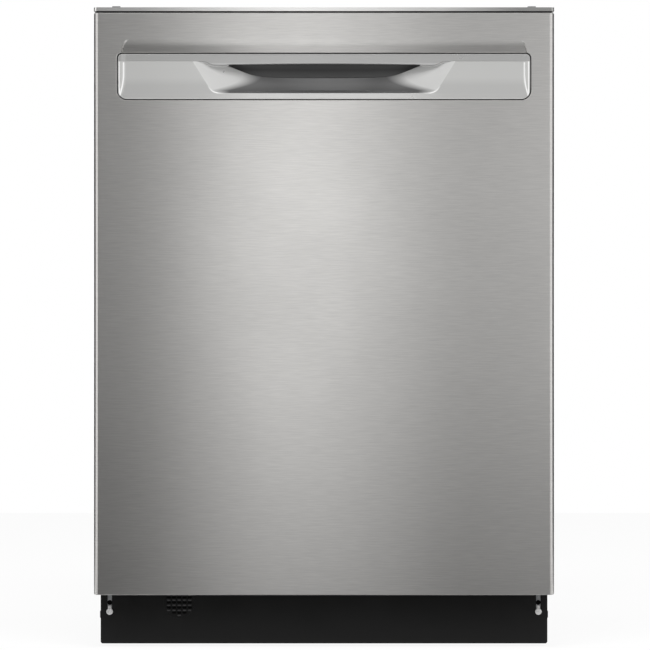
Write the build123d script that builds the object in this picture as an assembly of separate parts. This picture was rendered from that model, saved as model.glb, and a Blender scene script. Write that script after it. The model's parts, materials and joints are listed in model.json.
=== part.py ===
from build123d import *

import math
import os

# Every length is in millimetres. +X is to the right as seen from the front, the door faces -Y and +Z is up.
# The origin is on the floor, under the middle of the overall box.

# Overall sizes
DEPTH = 622.0
DOOR_WIDTH = 606.4
PANEL_HEIGHT = 765.6
PANEL_BOTTOM_Z = 71.6
DOOR_THICKNESS = 62.0
BRACKET_TOP_Z = 852.7

# General clearances and sheet gauges
SHEET = 1.0
BASE_SHEET = 1.5
GAP = 0.3
PIN_CLEARANCE = 0.08
WELD_GAP = 0.05

# Hinge and the stack of plates beside it, from the outside of the door inwards
HINGE_SETBACK = 40.0
HINGE_RISE = 26.4
EAR_CLEARANCE = 2.7
EAR_THICKNESS = 3.0
ARM_GAP = 3.0
ARM_THICKNESS = 3.0
PIN_RADIUS = 4.0
PIN_HEAD_RADIUS = 6.0
PIN_HEAD_GAP = 0.5
PIN_HEAD_THICKNESS = 2.5
SECTOR_RADIUS = 33.0
SECTOR_SWEEP_GAP = 5.0
ARM_TOP_RISE = 132.0
ARM_FOOT_THICKNESS = 2.0
CABLE_RADIUS = 1.2
SPRING_RADIUS = 7.0
SPRING_WIRE = 1.8
SPRING_LENGTH = 227.0
CABLE_LENGTH = 66.0

# Door skin, console and handle
PANEL_RETURN = 38.0
PANEL_EDGE_RETURN = 20.0
PANEL_EDGE_RADIUS = 3.5
PANEL_LIP = 10.2
CONSOLE_GAP = 2.6
CONSOLE_LIP = 4.9
CONSOLE_PLATE = 2.5
CONSOLE_RIM = 2.5
CONSOLE_RADIUS = 4.0
CONSOLE_RECESS = 4.0
CONSOLE_WALL = 2.0
BAY_DEPTH = 18.0
HANDLE_WIDTH = 543.1
HANDLE_HEIGHT = 59.2
HANDLE_DROP = 53.7
HANDLE_GAP = 1.4
HANDLE_TOP_RADIUS = 6.0
HANDLE_BOTTOM_RADIUS = 12.0
HANDLE_PLATE = 5.0
HANDLE_FLANGE = 7.0
HANDLE_FLANGE_THICKNESS = 2.0
HANDLE_WALL = 2.5
TRAY_DEPTH = 2.5
TRAY_RIM = 3.0
LIP_HEIGHT = 9.5
LIP_DROP = 4.2
LIP_DROP_WIDTH = 312.0
LIP_THICKNESS = 8.0
SCOOP_TOP_WIDTH = 344.8
SCOOP_BOTTOM_WIDTH = 294.0
SCOOP_RIM = 8.2
SCOOP_RADIUS = 8.0
SCOOP_DEPTH = 28.0
SCOOP_BACK_TOP_WIDTH = 256.0
SCOOP_BACK_BOTTOM_WIDTH = 214.0
SCOOP_BACK_LOW = 29.7
SCOOP_BACK_TOP_MARGIN = 2.5
SCOOP_BACK_RADIUS = 12.0

# Inner door
LINER_BOTTOM_RISE = 12.4
LINER_NOTCH_Z = 150.0
LINER_SIDE_MARGIN = 1.2
LINER_RETURN = 16.0
INSULATION_THICKNESS = 26.0
INSULATION_WIDTH = 566.0
DISPENSER_X = -20.0
DISPENSER_Z = 400.0
DISPENSER_WIDTH = 180.0
DISPENSER_HEIGHT = 140.0
DISPENSER_PROUD = 6.0
DISPENSER_DEPTH = 30.0
DISPENSER_MARGIN = 10.0
CUP_WIDTH = 68.0
CUP_HEIGHT = 96.0
CUP_DEPTH = 28.0
CUP_OFFSET = -38.0
LID_THICKNESS = 3.0
LID_OVERLAP = 3.0
LID_GRIP_HEIGHT = 2.0
LID_GRIP_WIDTH = 6.0
LID_GRIP_LENGTH = 40.0
LID_GRIP_MARGIN = 16.0
LID_PIN_RADIUS = 1.3
LID_BARREL_RADIUS = 2.6
RINSE_CAP_OFFSET = 50.0
RINSE_CAP_RADIUS = 17.0
RINSE_NECK_RADIUS = 10.0
RINSE_CAP_THICKNESS = 6.0
VENT_X = 170.0
VENT_Z = 660.0
VENT_RADIUS = 30.0
VENT_NECK_RADIUS = 25.7
VENT_PROUD = 4.0
VENT_RIM = 6.0
VENT_SLOT_PITCH = 9.0
VENT_SLOT_HEIGHT = 5.0
VENT_SLOT_DEPTH = 3.0
DOOR_SEAL_WIDTH = 524.0
DOOR_SEAL_HEIGHT = 12.0
DOOR_SEAL_THICKNESS = 7.5
SCREW_RADIUS = 2.0
SCREW_HEAD_RADIUS = 4.5
SCREW_HEAD_HEIGHT = 2.5
DOOR_SCREW_COUNT = 5
DOOR_SCREW_LOW_Z = 260.0
DOOR_SCREW_HIGH_Z = 800.0

# Latch
LATCH_WIDTH = 76.0
LATCH_DEPTH = 37.0
LATCH_HEIGHT = 32.0
LATCH_WALL = 4.0
LATCH_CAVITY_WIDTH = 14.0
PAWL_WIDTH = 7.0
PAWL_PIVOT_RADIUS = 3.0
PAWL_HUB_RADIUS = 6.5
PAWL_REACH = 19.0
STRIKE_WIDTH = 10.0
STRIKE_THICKNESS = 3.0
STRIKE_REACH = 25.0
STRIKE_SLOT_WIDTH = 6.0
STRIKE_Z = 833.5
STRIKE_PLATE_WIDTH = 50.0

# Controls on top of the door
BUTTON_LENGTH = 22.0
BUTTON_DEPTH = 12.0
BUTTON_TRAVEL = 1.0
BUTTON_X = (90.0, 120.0, 244.0)
DISPLAY_X = 182.0
DISPLAY_LENGTH = 64.0
DISPLAY_DEPTH = 14.0
DISPLAY_THICKNESS = 1.2
BOARD_LENGTH = 194.0
BOARD_X = 167.0
BOARD_DEPTH = 20.0
BOARD_THICKNESS = 1.6
BOARD_DROP = 13.0
CONTROL_SETBACK = 41.0

# Tub
SEAL_GAP = 9.0
FLANGE_WIDTH = 14.0
FLANGE_SIDE_CLEARANCE = 3.0
TUB_LENGTH = 530.0
TUB_HEIGHT = 698.0
TUB_RADIUS = 30.0
FLANGE_TOP = 22.0
APRON = 12.0
RECESS_WIDTH = 400.0
RECESS_DEPTH = 14.0
RECESS_FRONT_MARGIN = 25.0
RECESS_BACK_MARGIN = 25.0
RECESS_RADIUS = 20.0
BLANKET = 8.0
BLANKET_LOW_Z = 160.0
BLANKET_FRONT_MARGIN = 15.0
GASKET_WIDTH = 10.0
GASKET_MARGIN = 2.0
BRACKET_WIDTH = 10.7
BRACKET_X = 277.8
BRACKET_SHEET = 1.5
BRACKET_TAB = 24.0
BRACKET_FOOT = 27.0
BRACKET_HOLE_RADIUS = 2.6
BRACKET_HOLE_MARGIN = 9.6

# Base frame, kick plate and legs
BASE_BOTTOM_Z = 20.0
TOE_RECESS = 70.0
BASE_TOP_FLANGE = 71.5
FRONT_RAIL_HEIGHT = 13.0
FRONT_RAIL_FLOOR = 60.0
EAR_HEIGHT = 28.0
EAR_REACH = 12.0
KICK_HEIGHT = 75.0
KICK_GROUND_GAP = 1.0
KICK_SIDE_CLEARANCE = 1.0
KICK_RETURN = 12.0
KICK_RADIUS = 3.0
KICK_CLIP_Z = 39.6
KICK_CLIP_HEIGHT = 9.0
KICK_CLIP_PROUD = 1.0
KICK_SCREW_X = 286.4
KICK_SCREW_Z = 43.6
KICK_SCREW_RADIUS = 2.4
KICK_SCREW_HEAD_RADIUS = 4.35
KICK_SCREW_HEAD_HEIGHT = 2.2
KICK_SCREW_REACH = 4.0
SCREW_SLOT_WIDTH = 1.0
KICK_SLOT_WIDTH = 6.0
KICK_BRACKET_WIDTH = 16.0
KICK_BRACKET_TOP_Z = 66.0
KICK_HOLE_Z = 55.6
KICK_HOLE_RADIUS = 3.3
VENT_HOLES_X = -193.5
VENT_HOLES_Z = 55.6
VENT_HOLES_RADIUS = 20.7
VENT_HOLE_LENGTH = 5.6
VENT_HOLE_HEIGHT = 3.0
VENT_PITCH_X = 7.0
VENT_PITCH_Z = 6.8
LEG_X = 270.0
LEG_FRONT_MARGIN = 106.0
LEG_REAR_MARGIN = 36.0
LEG_ROD_RADIUS = 5.0
LEG_PAD_RADIUS = 18.0
LEG_PAD_HEIGHT = 8.0
LEG_NUT_RADIUS = 9.0
LEG_NUT_HEIGHT = 6.0
LEG_TOP_Z = 100.0
BOSS_RADIUS = 9.0
BOSS_TOP_Z = 62.0
BOSS_PLATE_WIDTH = 55.0
SIDE_WINDOWS_Y = ((-175.0, 10.0), (45.0, 245.0))
SIDE_WINDOW_SILL = 18.0
SIDE_WINDOW_HEAD = 22.0
REAR_WINDOW_HALF = 238.0
REAR_WINDOW_SILL = 10.0
REAR_WINDOW_HEAD = 16.0
WINDOW_RADIUS = 12.0

# Sump, pumps and plumbing
SUMP_Y = 20.0
SUMP_HOLE_RADIUS = 84.0
SUMP_FLANGE = 11.0
SUMP_FLANGE_THICKNESS = 3.0
SUMP_WALL = 3.0
SUMP_BOTTOM_Z = 34.0
SUMP_BOTTOM_RADIUS = 56.0
SUMP_SHOULDER_Z = 80.0
POST_RADIUS = 16.0
POST_TOP_Z = 130.0
SPIGOT_RADIUS = 8.0
SPIGOT_HEIGHT = 16.0
COARSE_THICKNESS = 2.0
FILTER_RADIUS = 24.0
FILTER_OFFSET = 46.0
FILTER_WALL = 2.0
FILTER_BOTTOM_Z = 66.0
FILTER_RIM_RADIUS = 27.0
FILTER_RIM_THICKNESS = 3.0
FILTER_GRIP_HEIGHT = 11.0
PUMP_Z = 58.0
PUMP_PORT_RADIUS = 16.0
PUMP_PORT_X = -90.0
VOLUTE_RADIUS = 44.0
VOLUTE_THICKNESS = 28.0
VOLUTE_WALL = 3.0
MOTOR_RADIUS = 40.0
MOTOR_LENGTH = 95.0
IMPELLER_RADIUS = 34.0
IMPELLER_SHAFT_RADIUS = 4.0
IMPELLER_VANES = 6
OUTLET_RADIUS = 11.0
OUTLET_REACH = 50.0
DRAIN_Z = 52.0
DRAIN_PORT_X = 84.0
DRAIN_PORT_RADIUS = 14.0
DRAIN_PUMP_RADIUS = 26.0
DRAIN_PUMP_LENGTH = 28.0
DRAIN_MOTOR_RADIUS = 21.0
DRAIN_MOTOR_LENGTH = 38.0
DRAIN_SPIGOT_RADIUS = 9.5
DRAIN_SPIGOT_BORE = 7.0
DRAIN_SPIGOT_REACH = 54.0
DRAIN_COLLAR_RADIUS = 13.0
DRAIN_COLLAR_REACH = 30.0
FEED_RADIUS = 8.0
FEED_BACK_GAP = 12.0
FEED_TOP_Z = 796.0
FEED_BEND = 32.0
NOZZLE_RADIUS = 20.0
NOZZLE_Y = 60.0
NOZZLE_HEIGHT = 22.0
NOZZLE_CAP = 2.0
HEATER_RADIUS = 4.2
HEATER_HALF_WIDTH = 180.0
HEATER_FRONT_Y = -150.0
HEATER_REAR_Y = 200.0
HEATER_RISE = 10.0
HEATER_BEND = 40.0
HEATER_END_X = (-30.0, 60.0)
HEATER_END_BEND = 9.0
HEATER_TAIL_Z = 88.0
FLOAT_X = 172.0
FLOAT_Y = -190.0
FLOAT_RADIUS = 20.0
FLOAT_HEIGHT = 36.0
FLOAT_STEM_RADIUS = 3.0
FLOAT_STEM_BOTTOM_Z = 78.0
VALVE_X = -230.0
VALVE_Y = -201.0
VALVE_WIDTH = 44.0
VALVE_DEPTH = 42.0
VALVE_HEIGHT = 40.0
VALVE_INLET_RADIUS = 8.0
VALVE_INLET_DEPTH = 14.0
VALVE_INLET_OFFSET = 5.0
VALVE_NIPPLE_OFFSET = -15.0
VALVE_NIPPLE_LENGTH = 15.0
VALVE_COIL_RADIUS = 14.0
VALVE_COIL_HEIGHT = 22.0
HOSE_RADIUS = 5.0
HOSE_Y = 150.0
HOSE_TOP_Z = 285.0
HOSE_X = 288.0
HOSE_PORT_HEIGHT = 24.0
JUNCTION_X = 203.0
JUNCTION_Y = -192.0
JUNCTION_WIDTH = 70.0
JUNCTION_DEPTH = 60.0
JUNCTION_HEIGHT = 45.0
JUNCTION_WALL = 1.2
KNOCKOUT_RADIUS = 11.1
HARNESS_RADIUS = 4.0

# Spray arms
ARM_LENGTH_LOWER = 400.0
ARM_LENGTH_UPPER = 360.0
BLADE_WIDTH = 36.0
BLADE_HEIGHT = 12.0
HUB_RADIUS = 16.8
HUB_CAP_RADIUS = 12.0
ARM_HUB_HEIGHT = 4.0
NOZZLE_COUNT = 5
JET_RADIUS = 2.5
JET_START = 44.0
JET_MARGIN = 16.0
JET_OFFSET = 6.0

# Racks and their runners
WIRE = 2.0
THIN_WIRE = 1.6
TINE_WIRE = 1.5
RIM_WIRE = 2.4
LOWER_RACK_WIDTH = 512.0
LOWER_RACK_LENGTH = 485.0
LOWER_RACK_FRONT_Y = -225.0
LOWER_RACK_HEIGHT = 130.0
UPPER_RACK_WIDTH = 492.0
UPPER_RACK_LENGTH = 468.0
UPPER_RACK_FRONT_Y = -221.0
UPPER_FLOOR_Z = 555.0
UPPER_RACK_HEIGHT = 135.0
CROSS_WIRES = 12
LONG_WIRES = 11
WALL_WIRES = 3
TINE_HEIGHT = 88.0
TINE_COUNT = 11
TINE_RIGHT_X = 160.0
TINE_LEFT_MARGIN = 16.0
TINE_ROWS_Y = (-50.0, 3.0, 56.0, 109.0, 162.0, 215.0)
FOLD_ROW_Y = -103.0
UPPER_TINE_HEIGHT = 60.0
UPPER_TINE_ROWS_X = (-60.0, 0.0, 60.0)
UPPER_TINE_MARGIN = 20.0
WHEEL_RADIUS = 18.0
WHEEL_WIDTH = 14.0
WHEEL_TOP_GAP = 1.7
WHEEL_X = 229.0
FRONT_WHEEL_Y = -138.0
REAR_WHEEL_Y = 190.0
AXLE_RADIUS = 4.0
CARRIER_THICKNESS = 3.0
CARRIER_LENGTH = 24.0
RAIL_LENGTH = 455.0
RAIL_FRONT_Y = -225.0
RAIL_Z = 600.0
RAIL_HEIGHT = 38.0
RAIL_DEPTH = 8.0
RAIL_GAUGE = 1.2
RAIL_MIDDLE_GAUGE = 1.0
RAIL_LIP = 5.0
RAIL_WEB_HEIGHT = 16.0
RAIL_PLATE_LENGTH = 30.0
RAIL_PLATE_MARGIN = 22.0
RAIL_PLATE_SETBACK = 40.0
RAIL_PLATE_REACH = 6.0
MANIFOLD_RADIUS = 7.0
MANIFOLD_HUB_RADIUS = 14.0
MANIFOLD_Y = 13.0
SHELF_Z = 640.0
SHELF_WIDTH = 90.0
SHELF_LENGTH = 300.0
SHELF_WIRES = 9
BASKET_X = 211.0
BASKET_WIDTH = 66.0
BASKET_FRONT_Y = -200.0
BASKET_LENGTH = 380.0
BASKET_HEIGHT = 125.0
BASKET_WALL = 2.0
BASKET_CELLS = 5
BASKET_HANDLE_RISE = 28.0

# Places worked out from the sizes above
FRONT_Y = -DEPTH / 2
REAR_Y = DEPTH / 2
DOOR_HALF = DOOR_WIDTH / 2
PANEL_TOP_Z = PANEL_BOTTOM_Z + PANEL_HEIGHT
LINER_Y = FRONT_Y + DOOR_THICKNESS
LINER_BACK_Y = LINER_Y - SHEET
HINGE_Y = FRONT_Y + HINGE_SETBACK
HINGE_Z = PANEL_BOTTOM_Z + HINGE_RISE
LEDGE_Z = HINGE_Z + LINER_Y - HINGE_Y
FLANGE_Y = LINER_Y + SEAL_GAP
EAR_OUTER_X = DOOR_HALF - SHEET - EAR_CLEARANCE
BASE_HALF = EAR_OUTER_X - EAR_THICKNESS
ARM_OUTER_X = BASE_HALF - BASE_SHEET - ARM_GAP
ARM_INNER_X = ARM_OUTER_X - ARM_THICKNESS
ARM_MID_X = ARM_OUTER_X - ARM_THICKNESS / 2
PIN_HEAD_X = ARM_INNER_X - PIN_HEAD_GAP
LINER_LOWER_HALF = PIN_HEAD_X - PIN_HEAD_THICKNESS - 1
LINER_HALF = DOOR_HALF - LINER_SIDE_MARGIN
LINER_BOTTOM_Z = PANEL_BOTTOM_Z + LINER_BOTTOM_RISE
PANEL_RETURN_Y = FRONT_Y + PANEL_RETURN
CABLE_Z = HINGE_Z + SECTOR_RADIUS + CABLE_RADIUS + 0.1
CABLE_END_Y = HINGE_Y + CABLE_LENGTH
SPRING_END_Y = CABLE_END_Y + SPRING_LENGTH
CONSOLE_TOP_Z = PANEL_TOP_Z + CONSOLE_GAP + CONSOLE_LIP
CONSOLE_UNDER_Z = CONSOLE_TOP_Z - CONSOLE_PLATE
CONSOLE_BACK_Y = LINER_Y - 2
HANDLE_TOP_Z = PANEL_TOP_Z - HANDLE_DROP
HANDLE_BOTTOM_Z = HANDLE_TOP_Z - HANDLE_HEIGHT
FLANGE_HALF = ARM_INNER_X - FLANGE_SIDE_CLEARANCE
TUB_HALF = FLANGE_HALF - FLANGE_WIDTH
TUB_CEILING_Z = LEDGE_Z + TUB_HEIGHT
TUB_BACK_Y = FLANGE_Y + TUB_LENGTH
TUB_TOP_Z = TUB_CEILING_Z + SHEET + FLANGE_TOP
RECESS_Z = LEDGE_Z - RECESS_DEPTH
RECESS_FRONT_Y = FLANGE_Y + RECESS_FRONT_MARGIN
RECESS_BACK_Y = TUB_BACK_Y - RECESS_BACK_MARGIN
KICK_Y = FRONT_Y + TOE_RECESS
BASE_FRONT_Y = KICK_Y + SHEET + GAP
BASE_TOP_Z = LEDGE_Z - SHEET
BASE_FLANGE_FRONT_Y = HINGE_Y + SECTOR_RADIUS + SECTOR_SWEEP_GAP
KICK_HALF = BASE_HALF + KICK_SIDE_CLEARANCE + SHEET
KICK_TOP_Z = KICK_GROUND_GAP + KICK_HEIGHT
RAIL_FLOOR_Z = BASE_BOTTOM_Z + BASE_SHEET
LEG_FRONT_Y = FRONT_Y + LEG_FRONT_MARGIN
LEG_REAR_Y = REAR_Y - LEG_REAR_MARGIN
FEED_Y = TUB_BACK_Y - FEED_BACK_GAP
HEATER_Z = RECESS_Z + HEATER_RISE
UPPER_MANIFOLD_Z = UPPER_FLOOR_Z - WIRE - MANIFOLD_RADIUS - WELD_GAP
UPPER_ARM_TOP_Z = UPPER_MANIFOLD_Z - MANIFOLD_RADIUS - 1
LOWER_RACK_HALF = LOWER_RACK_WIDTH / 2
UPPER_RACK_HALF = UPPER_RACK_WIDTH / 2
WHEEL_Z = LEDGE_Z + WHEEL_RADIUS + GAP
LOWER_FLOOR_Z = WHEEL_Z + WHEEL_RADIUS + WHEEL_TOP_GAP + WIRE


def block(x, y, z):
    """A block between two corners, each span given as a pair."""
    low = [min(span) for span in (x, y, z)]
    size = [abs(span[1] - span[0]) for span in (x, y, z)]
    return Pos(*low) * Box(*size, align=(Align.MIN, Align.MIN, Align.MIN))


def rod(start, end, radius):
    """A round bar from one point to another."""
    run = Vector(*end) - Vector(*start)
    return extrude(Plane(origin=start, z_dir=run) * Circle(radius), amount=run.length)


def front_plane(y):
    """The plane across the machine at a depth, with a sketch's x to the right and its y up."""
    return Plane(origin=(0, y, 0), x_dir=(1, 0, 0), z_dir=(0, -1, 0))


def prism(sketch, near, far):
    """A sketch drawn in x and z, made solid from one depth to another."""
    return extrude(front_plane(far) * sketch, amount=far - near)


def rounded(x, y, z, radius, axis):
    """A block with its four edges along one axis rounded."""
    body = block(x, y, z)
    return fillet(body.edges().filter_by(axis), radius)


def mirrored(shape):
    """The same piece on the other side of the machine."""
    return mirror(shape, about=Plane.YZ)


def spread(low, high, count):
    """Evenly spaced values from one end to the other."""
    return [low + (high - low) * i / (count - 1) for i in range(count)]


def bent_tube(points, radii, radius):
    """A round tube along straight runs joined by arcs."""
    path = FilletPolyline(*points, radius=radii)
    return sweep(Plane(origin=path @ 0, z_dir=path % 0) * Circle(radius), path=path)


def wire_panel(place, thick_at, thin_at, thick_span, thin_span, rim=WIRE):
    """A flat welded grid: thick wires at each level given, the last one a rim, with thin ones across them."""
    radii = [WIRE] * (len(thick_at) - 1) + [rim]
    wires = [rod(place(thick_span[0], v), place(thick_span[1], v), r) for v, r in zip(thick_at, radii)]
    wires += [rod(place(u, thin_span[0]), place(u, thin_span[1]), THIN_WIRE) for u in thin_at]
    return wires[0] + wires[1:]


# Tub and cabinet


def tub_box(grow):
    """The tub's main box from its front to its back, grown outwards by a layer."""
    half = TUB_HALF + grow
    body = block((-half, half), (FLANGE_Y, TUB_BACK_Y + grow), (LEDGE_Z - grow, TUB_CEILING_Z + grow))
    edges = body.edges().filter_by(Axis.Y) + body.faces().sort_by(Axis.Y)[-1].edges()
    return fillet(edges, TUB_RADIUS + grow)


def recess_box(grow, top):
    """The well in the tub's floor, grown outwards by the sheet."""
    half = RECESS_WIDTH / 2 + grow
    span = (RECESS_FRONT_Y - grow, RECESS_BACK_Y + grow)
    return rounded((-half, half), span, (RECESS_Z - grow, top), RECESS_RADIUS + grow, Axis.Z)


def tub():
    """Stainless tub with its front flange, its well and the holes through its floor."""
    flange = block((-FLANGE_HALF, FLANGE_HALF), (FLANGE_Y, FLANGE_Y + SHEET), (LEDGE_Z - APRON, TUB_TOP_Z))
    shell = tub_box(SHEET) + recess_box(SHEET, LEDGE_Z) + flange
    shell -= tub_box(0)
    shell -= recess_box(0, LEDGE_Z + SHEET)
    low, high = RECESS_Z - 2 * SHEET, LEDGE_Z + SHEET
    shell -= rod((0, SUMP_Y, low), (0, SUMP_Y, high), SUMP_HOLE_RADIUS)
    shell -= rod((0, FEED_Y, low), (0, FEED_Y, LEDGE_Z + TUB_RADIUS), FEED_RADIUS)
    shell -= rod((FLOAT_X, FLOAT_Y, low), (FLOAT_X, FLOAT_Y, high), FLOAT_STEM_RADIUS + GAP)
    for x in HEATER_END_X:
        shell -= rod((x, HEATER_REAR_Y, low), (x, HEATER_REAR_Y, high), HEATER_RADIUS)
    return shell


def tub_blanket():
    """Sound blanket wrapped round the sides, top and back of the tub."""
    layer = tub_box(SHEET + BLANKET) - tub_box(SHEET)
    wide = TUB_HALF + 2 * BLANKET
    layer -= block((-wide, wide), (FLANGE_Y - 1, TUB_BACK_Y + 2 * BLANKET), (0, BLANKET_LOW_Z))
    layer -= block((-wide, wide), (FLANGE_Y - 1, FLANGE_Y + BLANKET_FRONT_MARGIN), (0, TUB_TOP_Z))
    port = hose_port(1.0)
    return layer - port


def hose_port(grow):
    """The water inlet block on the left wall of the tub."""
    outer = HOSE_X + HOSE_RADIUS + grow
    half = HOSE_PORT_HEIGHT / 2 + grow
    middle = HOSE_TOP_Z + HOSE_PORT_HEIGHT / 2
    return block((-outer, -TUB_HALF - SHEET), (HOSE_Y - half, HOSE_Y + half), (middle - half, middle + half))


def base_half():
    """The right half of the base frame: side plate, its top flange, the hinge ear and the leg bosses."""
    inner = BASE_HALF - BASE_SHEET
    side = block((inner, BASE_HALF), (BASE_FRONT_Y, REAR_Y), (BASE_BOTTOM_Z, BASE_TOP_Z))
    window_z = (BASE_BOTTOM_Z + SIDE_WINDOW_SILL, BASE_TOP_Z - SIDE_WINDOW_HEAD)
    for window_y in SIDE_WINDOWS_Y:
        side -= rounded((inner - 1, BASE_HALF + 1), window_y, window_z, WINDOW_RADIUS, Axis.X)
    flange_low = BASE_TOP_Z - BASE_SHEET
    flange_x = (BASE_HALF - BASE_TOP_FLANGE, BASE_HALF)
    flange = block(flange_x, (BASE_FLANGE_FRONT_Y, REAR_Y), (flange_low, BASE_TOP_Z))
    ear_low, ear_high = HINGE_Z - EAR_HEIGHT / 2, HINGE_Z + EAR_HEIGHT / 2
    ear_front = HINGE_Y - EAR_REACH
    ear = block((inner, EAR_OUTER_X), (ear_front, BASE_FLANGE_FRONT_Y), (ear_low, ear_high))
    ear = fillet(ear.edges().filter_by(Axis.X).group_by(Axis.Y)[0], EAR_REACH * 0.8)
    ear -= block((inner - 1, inner), (ear_front, BASE_FLANGE_FRONT_Y), (ear_low, ear_high))
    ear -= rod((inner - 1, HINGE_Y, HINGE_Z), (EAR_OUTER_X + 1, HINGE_Y, HINGE_Z), PIN_RADIUS)
    anchor_y = (SPRING_END_Y, SPRING_END_Y + BASE_SHEET)
    anchor = block((ARM_MID_X - SPRING_RADIUS, BASE_HALF), anchor_y, (flange_low, CABLE_Z + SPRING_RADIUS))
    half = side + flange + ear + anchor
    for y in (LEG_FRONT_Y, LEG_REAR_Y):
        plate_y = (BASE_FRONT_Y, y + 35) if y < 0 else (y - 35, REAR_Y)
        plate = block((BASE_HALF - BOSS_PLATE_WIDTH, BASE_HALF), plate_y, (BASE_BOTTOM_Z, RAIL_FLOOR_Z))
        half += plate + rod((LEG_X, y, BASE_BOTTOM_Z), (LEG_X, y, BOSS_TOP_Z), BOSS_RADIUS)
        half -= rod((LEG_X, y, BASE_BOTTOM_Z - 1), (LEG_X, y, BOSS_TOP_Z + 1), LEG_ROD_RADIUS + GAP)
    return half


def kick_bracket():
    """The right upright that carries the kick plate's screw."""
    span = (KICK_SCREW_X - KICK_BRACKET_WIDTH / 2, BASE_HALF)
    y = (BASE_FRONT_Y, BASE_FRONT_Y + BASE_SHEET)
    upright = block(span, y, (BASE_BOTTOM_Z, KICK_BRACKET_TOP_Z))
    for z, radius in ((KICK_HOLE_Z, KICK_HOLE_RADIUS), (KICK_SCREW_Z, KICK_SCREW_RADIUS)):
        upright -= rod((KICK_SCREW_X, y[0] - 1, z), (KICK_SCREW_X, y[1] + 1, z), radius)
    return upright


def base_frame():
    """Galvanised frame under the tub: two sides, a back, a front rail with a shelf and the hinge ears."""
    right = base_half() + kick_bracket()
    wide = (-BASE_HALF, BASE_HALF)
    back = block(wide, (REAR_Y - BASE_SHEET, REAR_Y), (BASE_BOTTOM_Z, BASE_TOP_Z))
    window_z = (BASE_BOTTOM_Z + REAR_WINDOW_SILL, BASE_TOP_Z - REAR_WINDOW_HEAD)
    window_x = (-REAR_WINDOW_HALF, REAR_WINDOW_HALF)
    back -= rounded(window_x, (REAR_Y - 5, REAR_Y + 1), window_z, WINDOW_RADIUS, Axis.Y)
    rail_z = (BASE_BOTTOM_Z, BASE_BOTTOM_Z + FRONT_RAIL_HEIGHT)
    rail = block(wide, (BASE_FRONT_Y, BASE_FRONT_Y + BASE_SHEET), rail_z)
    shelf = block(wide, (BASE_FRONT_Y, BASE_FRONT_Y + FRONT_RAIL_FLOOR), (BASE_BOTTOM_Z, RAIL_FLOOR_Z))
    frame = back + rail + shelf + right + mirrored(right)
    for sign in (-1, 1):
        leg = (sign * LEG_X, LEG_FRONT_Y)
        frame -= rod((*leg, BASE_BOTTOM_Z - 1), (*leg, BOSS_TOP_Z + 1), LEG_ROD_RADIUS + GAP)
    reach = HOSE_RADIUS + 2
    notch_x = (-BASE_HALF + BASE_SHEET, -HOSE_X + reach)
    frame -= block(notch_x, (HOSE_Y - reach, HOSE_Y + reach), (BASE_TOP_Z - 2 * BASE_SHEET, BASE_TOP_Z + 1))
    return frame


def vent_slots():
    """The rows of small slots in the kick plate's round vent."""
    rows = int(VENT_HOLES_RADIUS / VENT_PITCH_Z)
    columns = int(VENT_HOLES_RADIUS / VENT_PITCH_X)
    slot = SlotOverall(VENT_HOLE_LENGTH, VENT_HOLE_HEIGHT)
    slots = []
    for row in range(-rows, rows + 1):
        for column in range(-columns, columns + 1):
            x, z = column * VENT_PITCH_X, row * VENT_PITCH_Z
            if math.hypot(x, z) + VENT_HOLE_LENGTH / 2 <= VENT_HOLES_RADIUS:
                slots.append(Pos(VENT_HOLES_X + x, VENT_HOLES_Z + z) * slot)
    return slots


def kick_plate():
    """Black toe plate with open-topped screw slots, side returns, side clips and the round vent."""
    z = (KICK_GROUND_GAP, KICK_TOP_Z)
    outer = block((-KICK_HALF, KICK_HALF), (KICK_Y, KICK_Y + KICK_RETURN), z)
    outer = fillet(outer.edges().filter_by(Axis.Y).group_by(Axis.Z)[0], KICK_RADIUS)
    inner_x = KICK_HALF - SHEET
    inner_y = (KICK_Y + SHEET, KICK_Y + KICK_RETURN + 1)
    plate = outer - block((-inner_x, inner_x), inner_y, (0, KICK_TOP_Z + 1))
    clip_z = (KICK_CLIP_Z - KICK_CLIP_HEIGHT / 2, KICK_CLIP_Z + KICK_CLIP_HEIGHT / 2)
    clip = block((KICK_HALF, KICK_HALF + KICK_CLIP_PROUD), (KICK_Y + 3, KICK_Y + KICK_RETURN), clip_z)
    plate += clip + mirrored(clip)
    half = KICK_SLOT_WIDTH / 2
    near, far = KICK_Y - 1, KICK_Y + SHEET + 1
    for x in (-KICK_SCREW_X, KICK_SCREW_X):
        plate -= rod((x, near, KICK_SCREW_Z), (x, far, KICK_SCREW_Z), half)
        plate -= block((x - half, x + half), (near, far), (KICK_SCREW_Z, KICK_TOP_Z + 1))
    return plate - prism(Sketch() + vent_slots(), near, far)


def kick_plate_screws():
    """The two screws that hold the kick plate to its brackets."""
    screws = []
    head_y = (KICK_Y - GAP - KICK_SCREW_HEAD_HEIGHT, KICK_Y - GAP)
    slot_z = (KICK_SCREW_Z - SCREW_SLOT_WIDTH / 2, KICK_SCREW_Z + SCREW_SLOT_WIDTH / 2)
    end = BASE_FRONT_Y + BASE_SHEET + KICK_SCREW_REACH
    for x in (-KICK_SCREW_X, KICK_SCREW_X):
        head = rod((x, head_y[0], KICK_SCREW_Z), (x, head_y[1], KICK_SCREW_Z), KICK_SCREW_HEAD_RADIUS)
        head = fillet(head.edges().sort_by(Axis.Y)[0], KICK_SCREW_HEAD_HEIGHT / 2)
        slot_x = (x - KICK_SCREW_HEAD_RADIUS, x + KICK_SCREW_HEAD_RADIUS)
        head -= block(slot_x, (head_y[0] - 1, head_y[0] + KICK_SCREW_HEAD_HEIGHT / 2), slot_z)
        screws.append(head + rod((x, head_y[1], KICK_SCREW_Z), (x, end, KICK_SCREW_Z), KICK_SCREW_RADIUS))
    return screws


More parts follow.
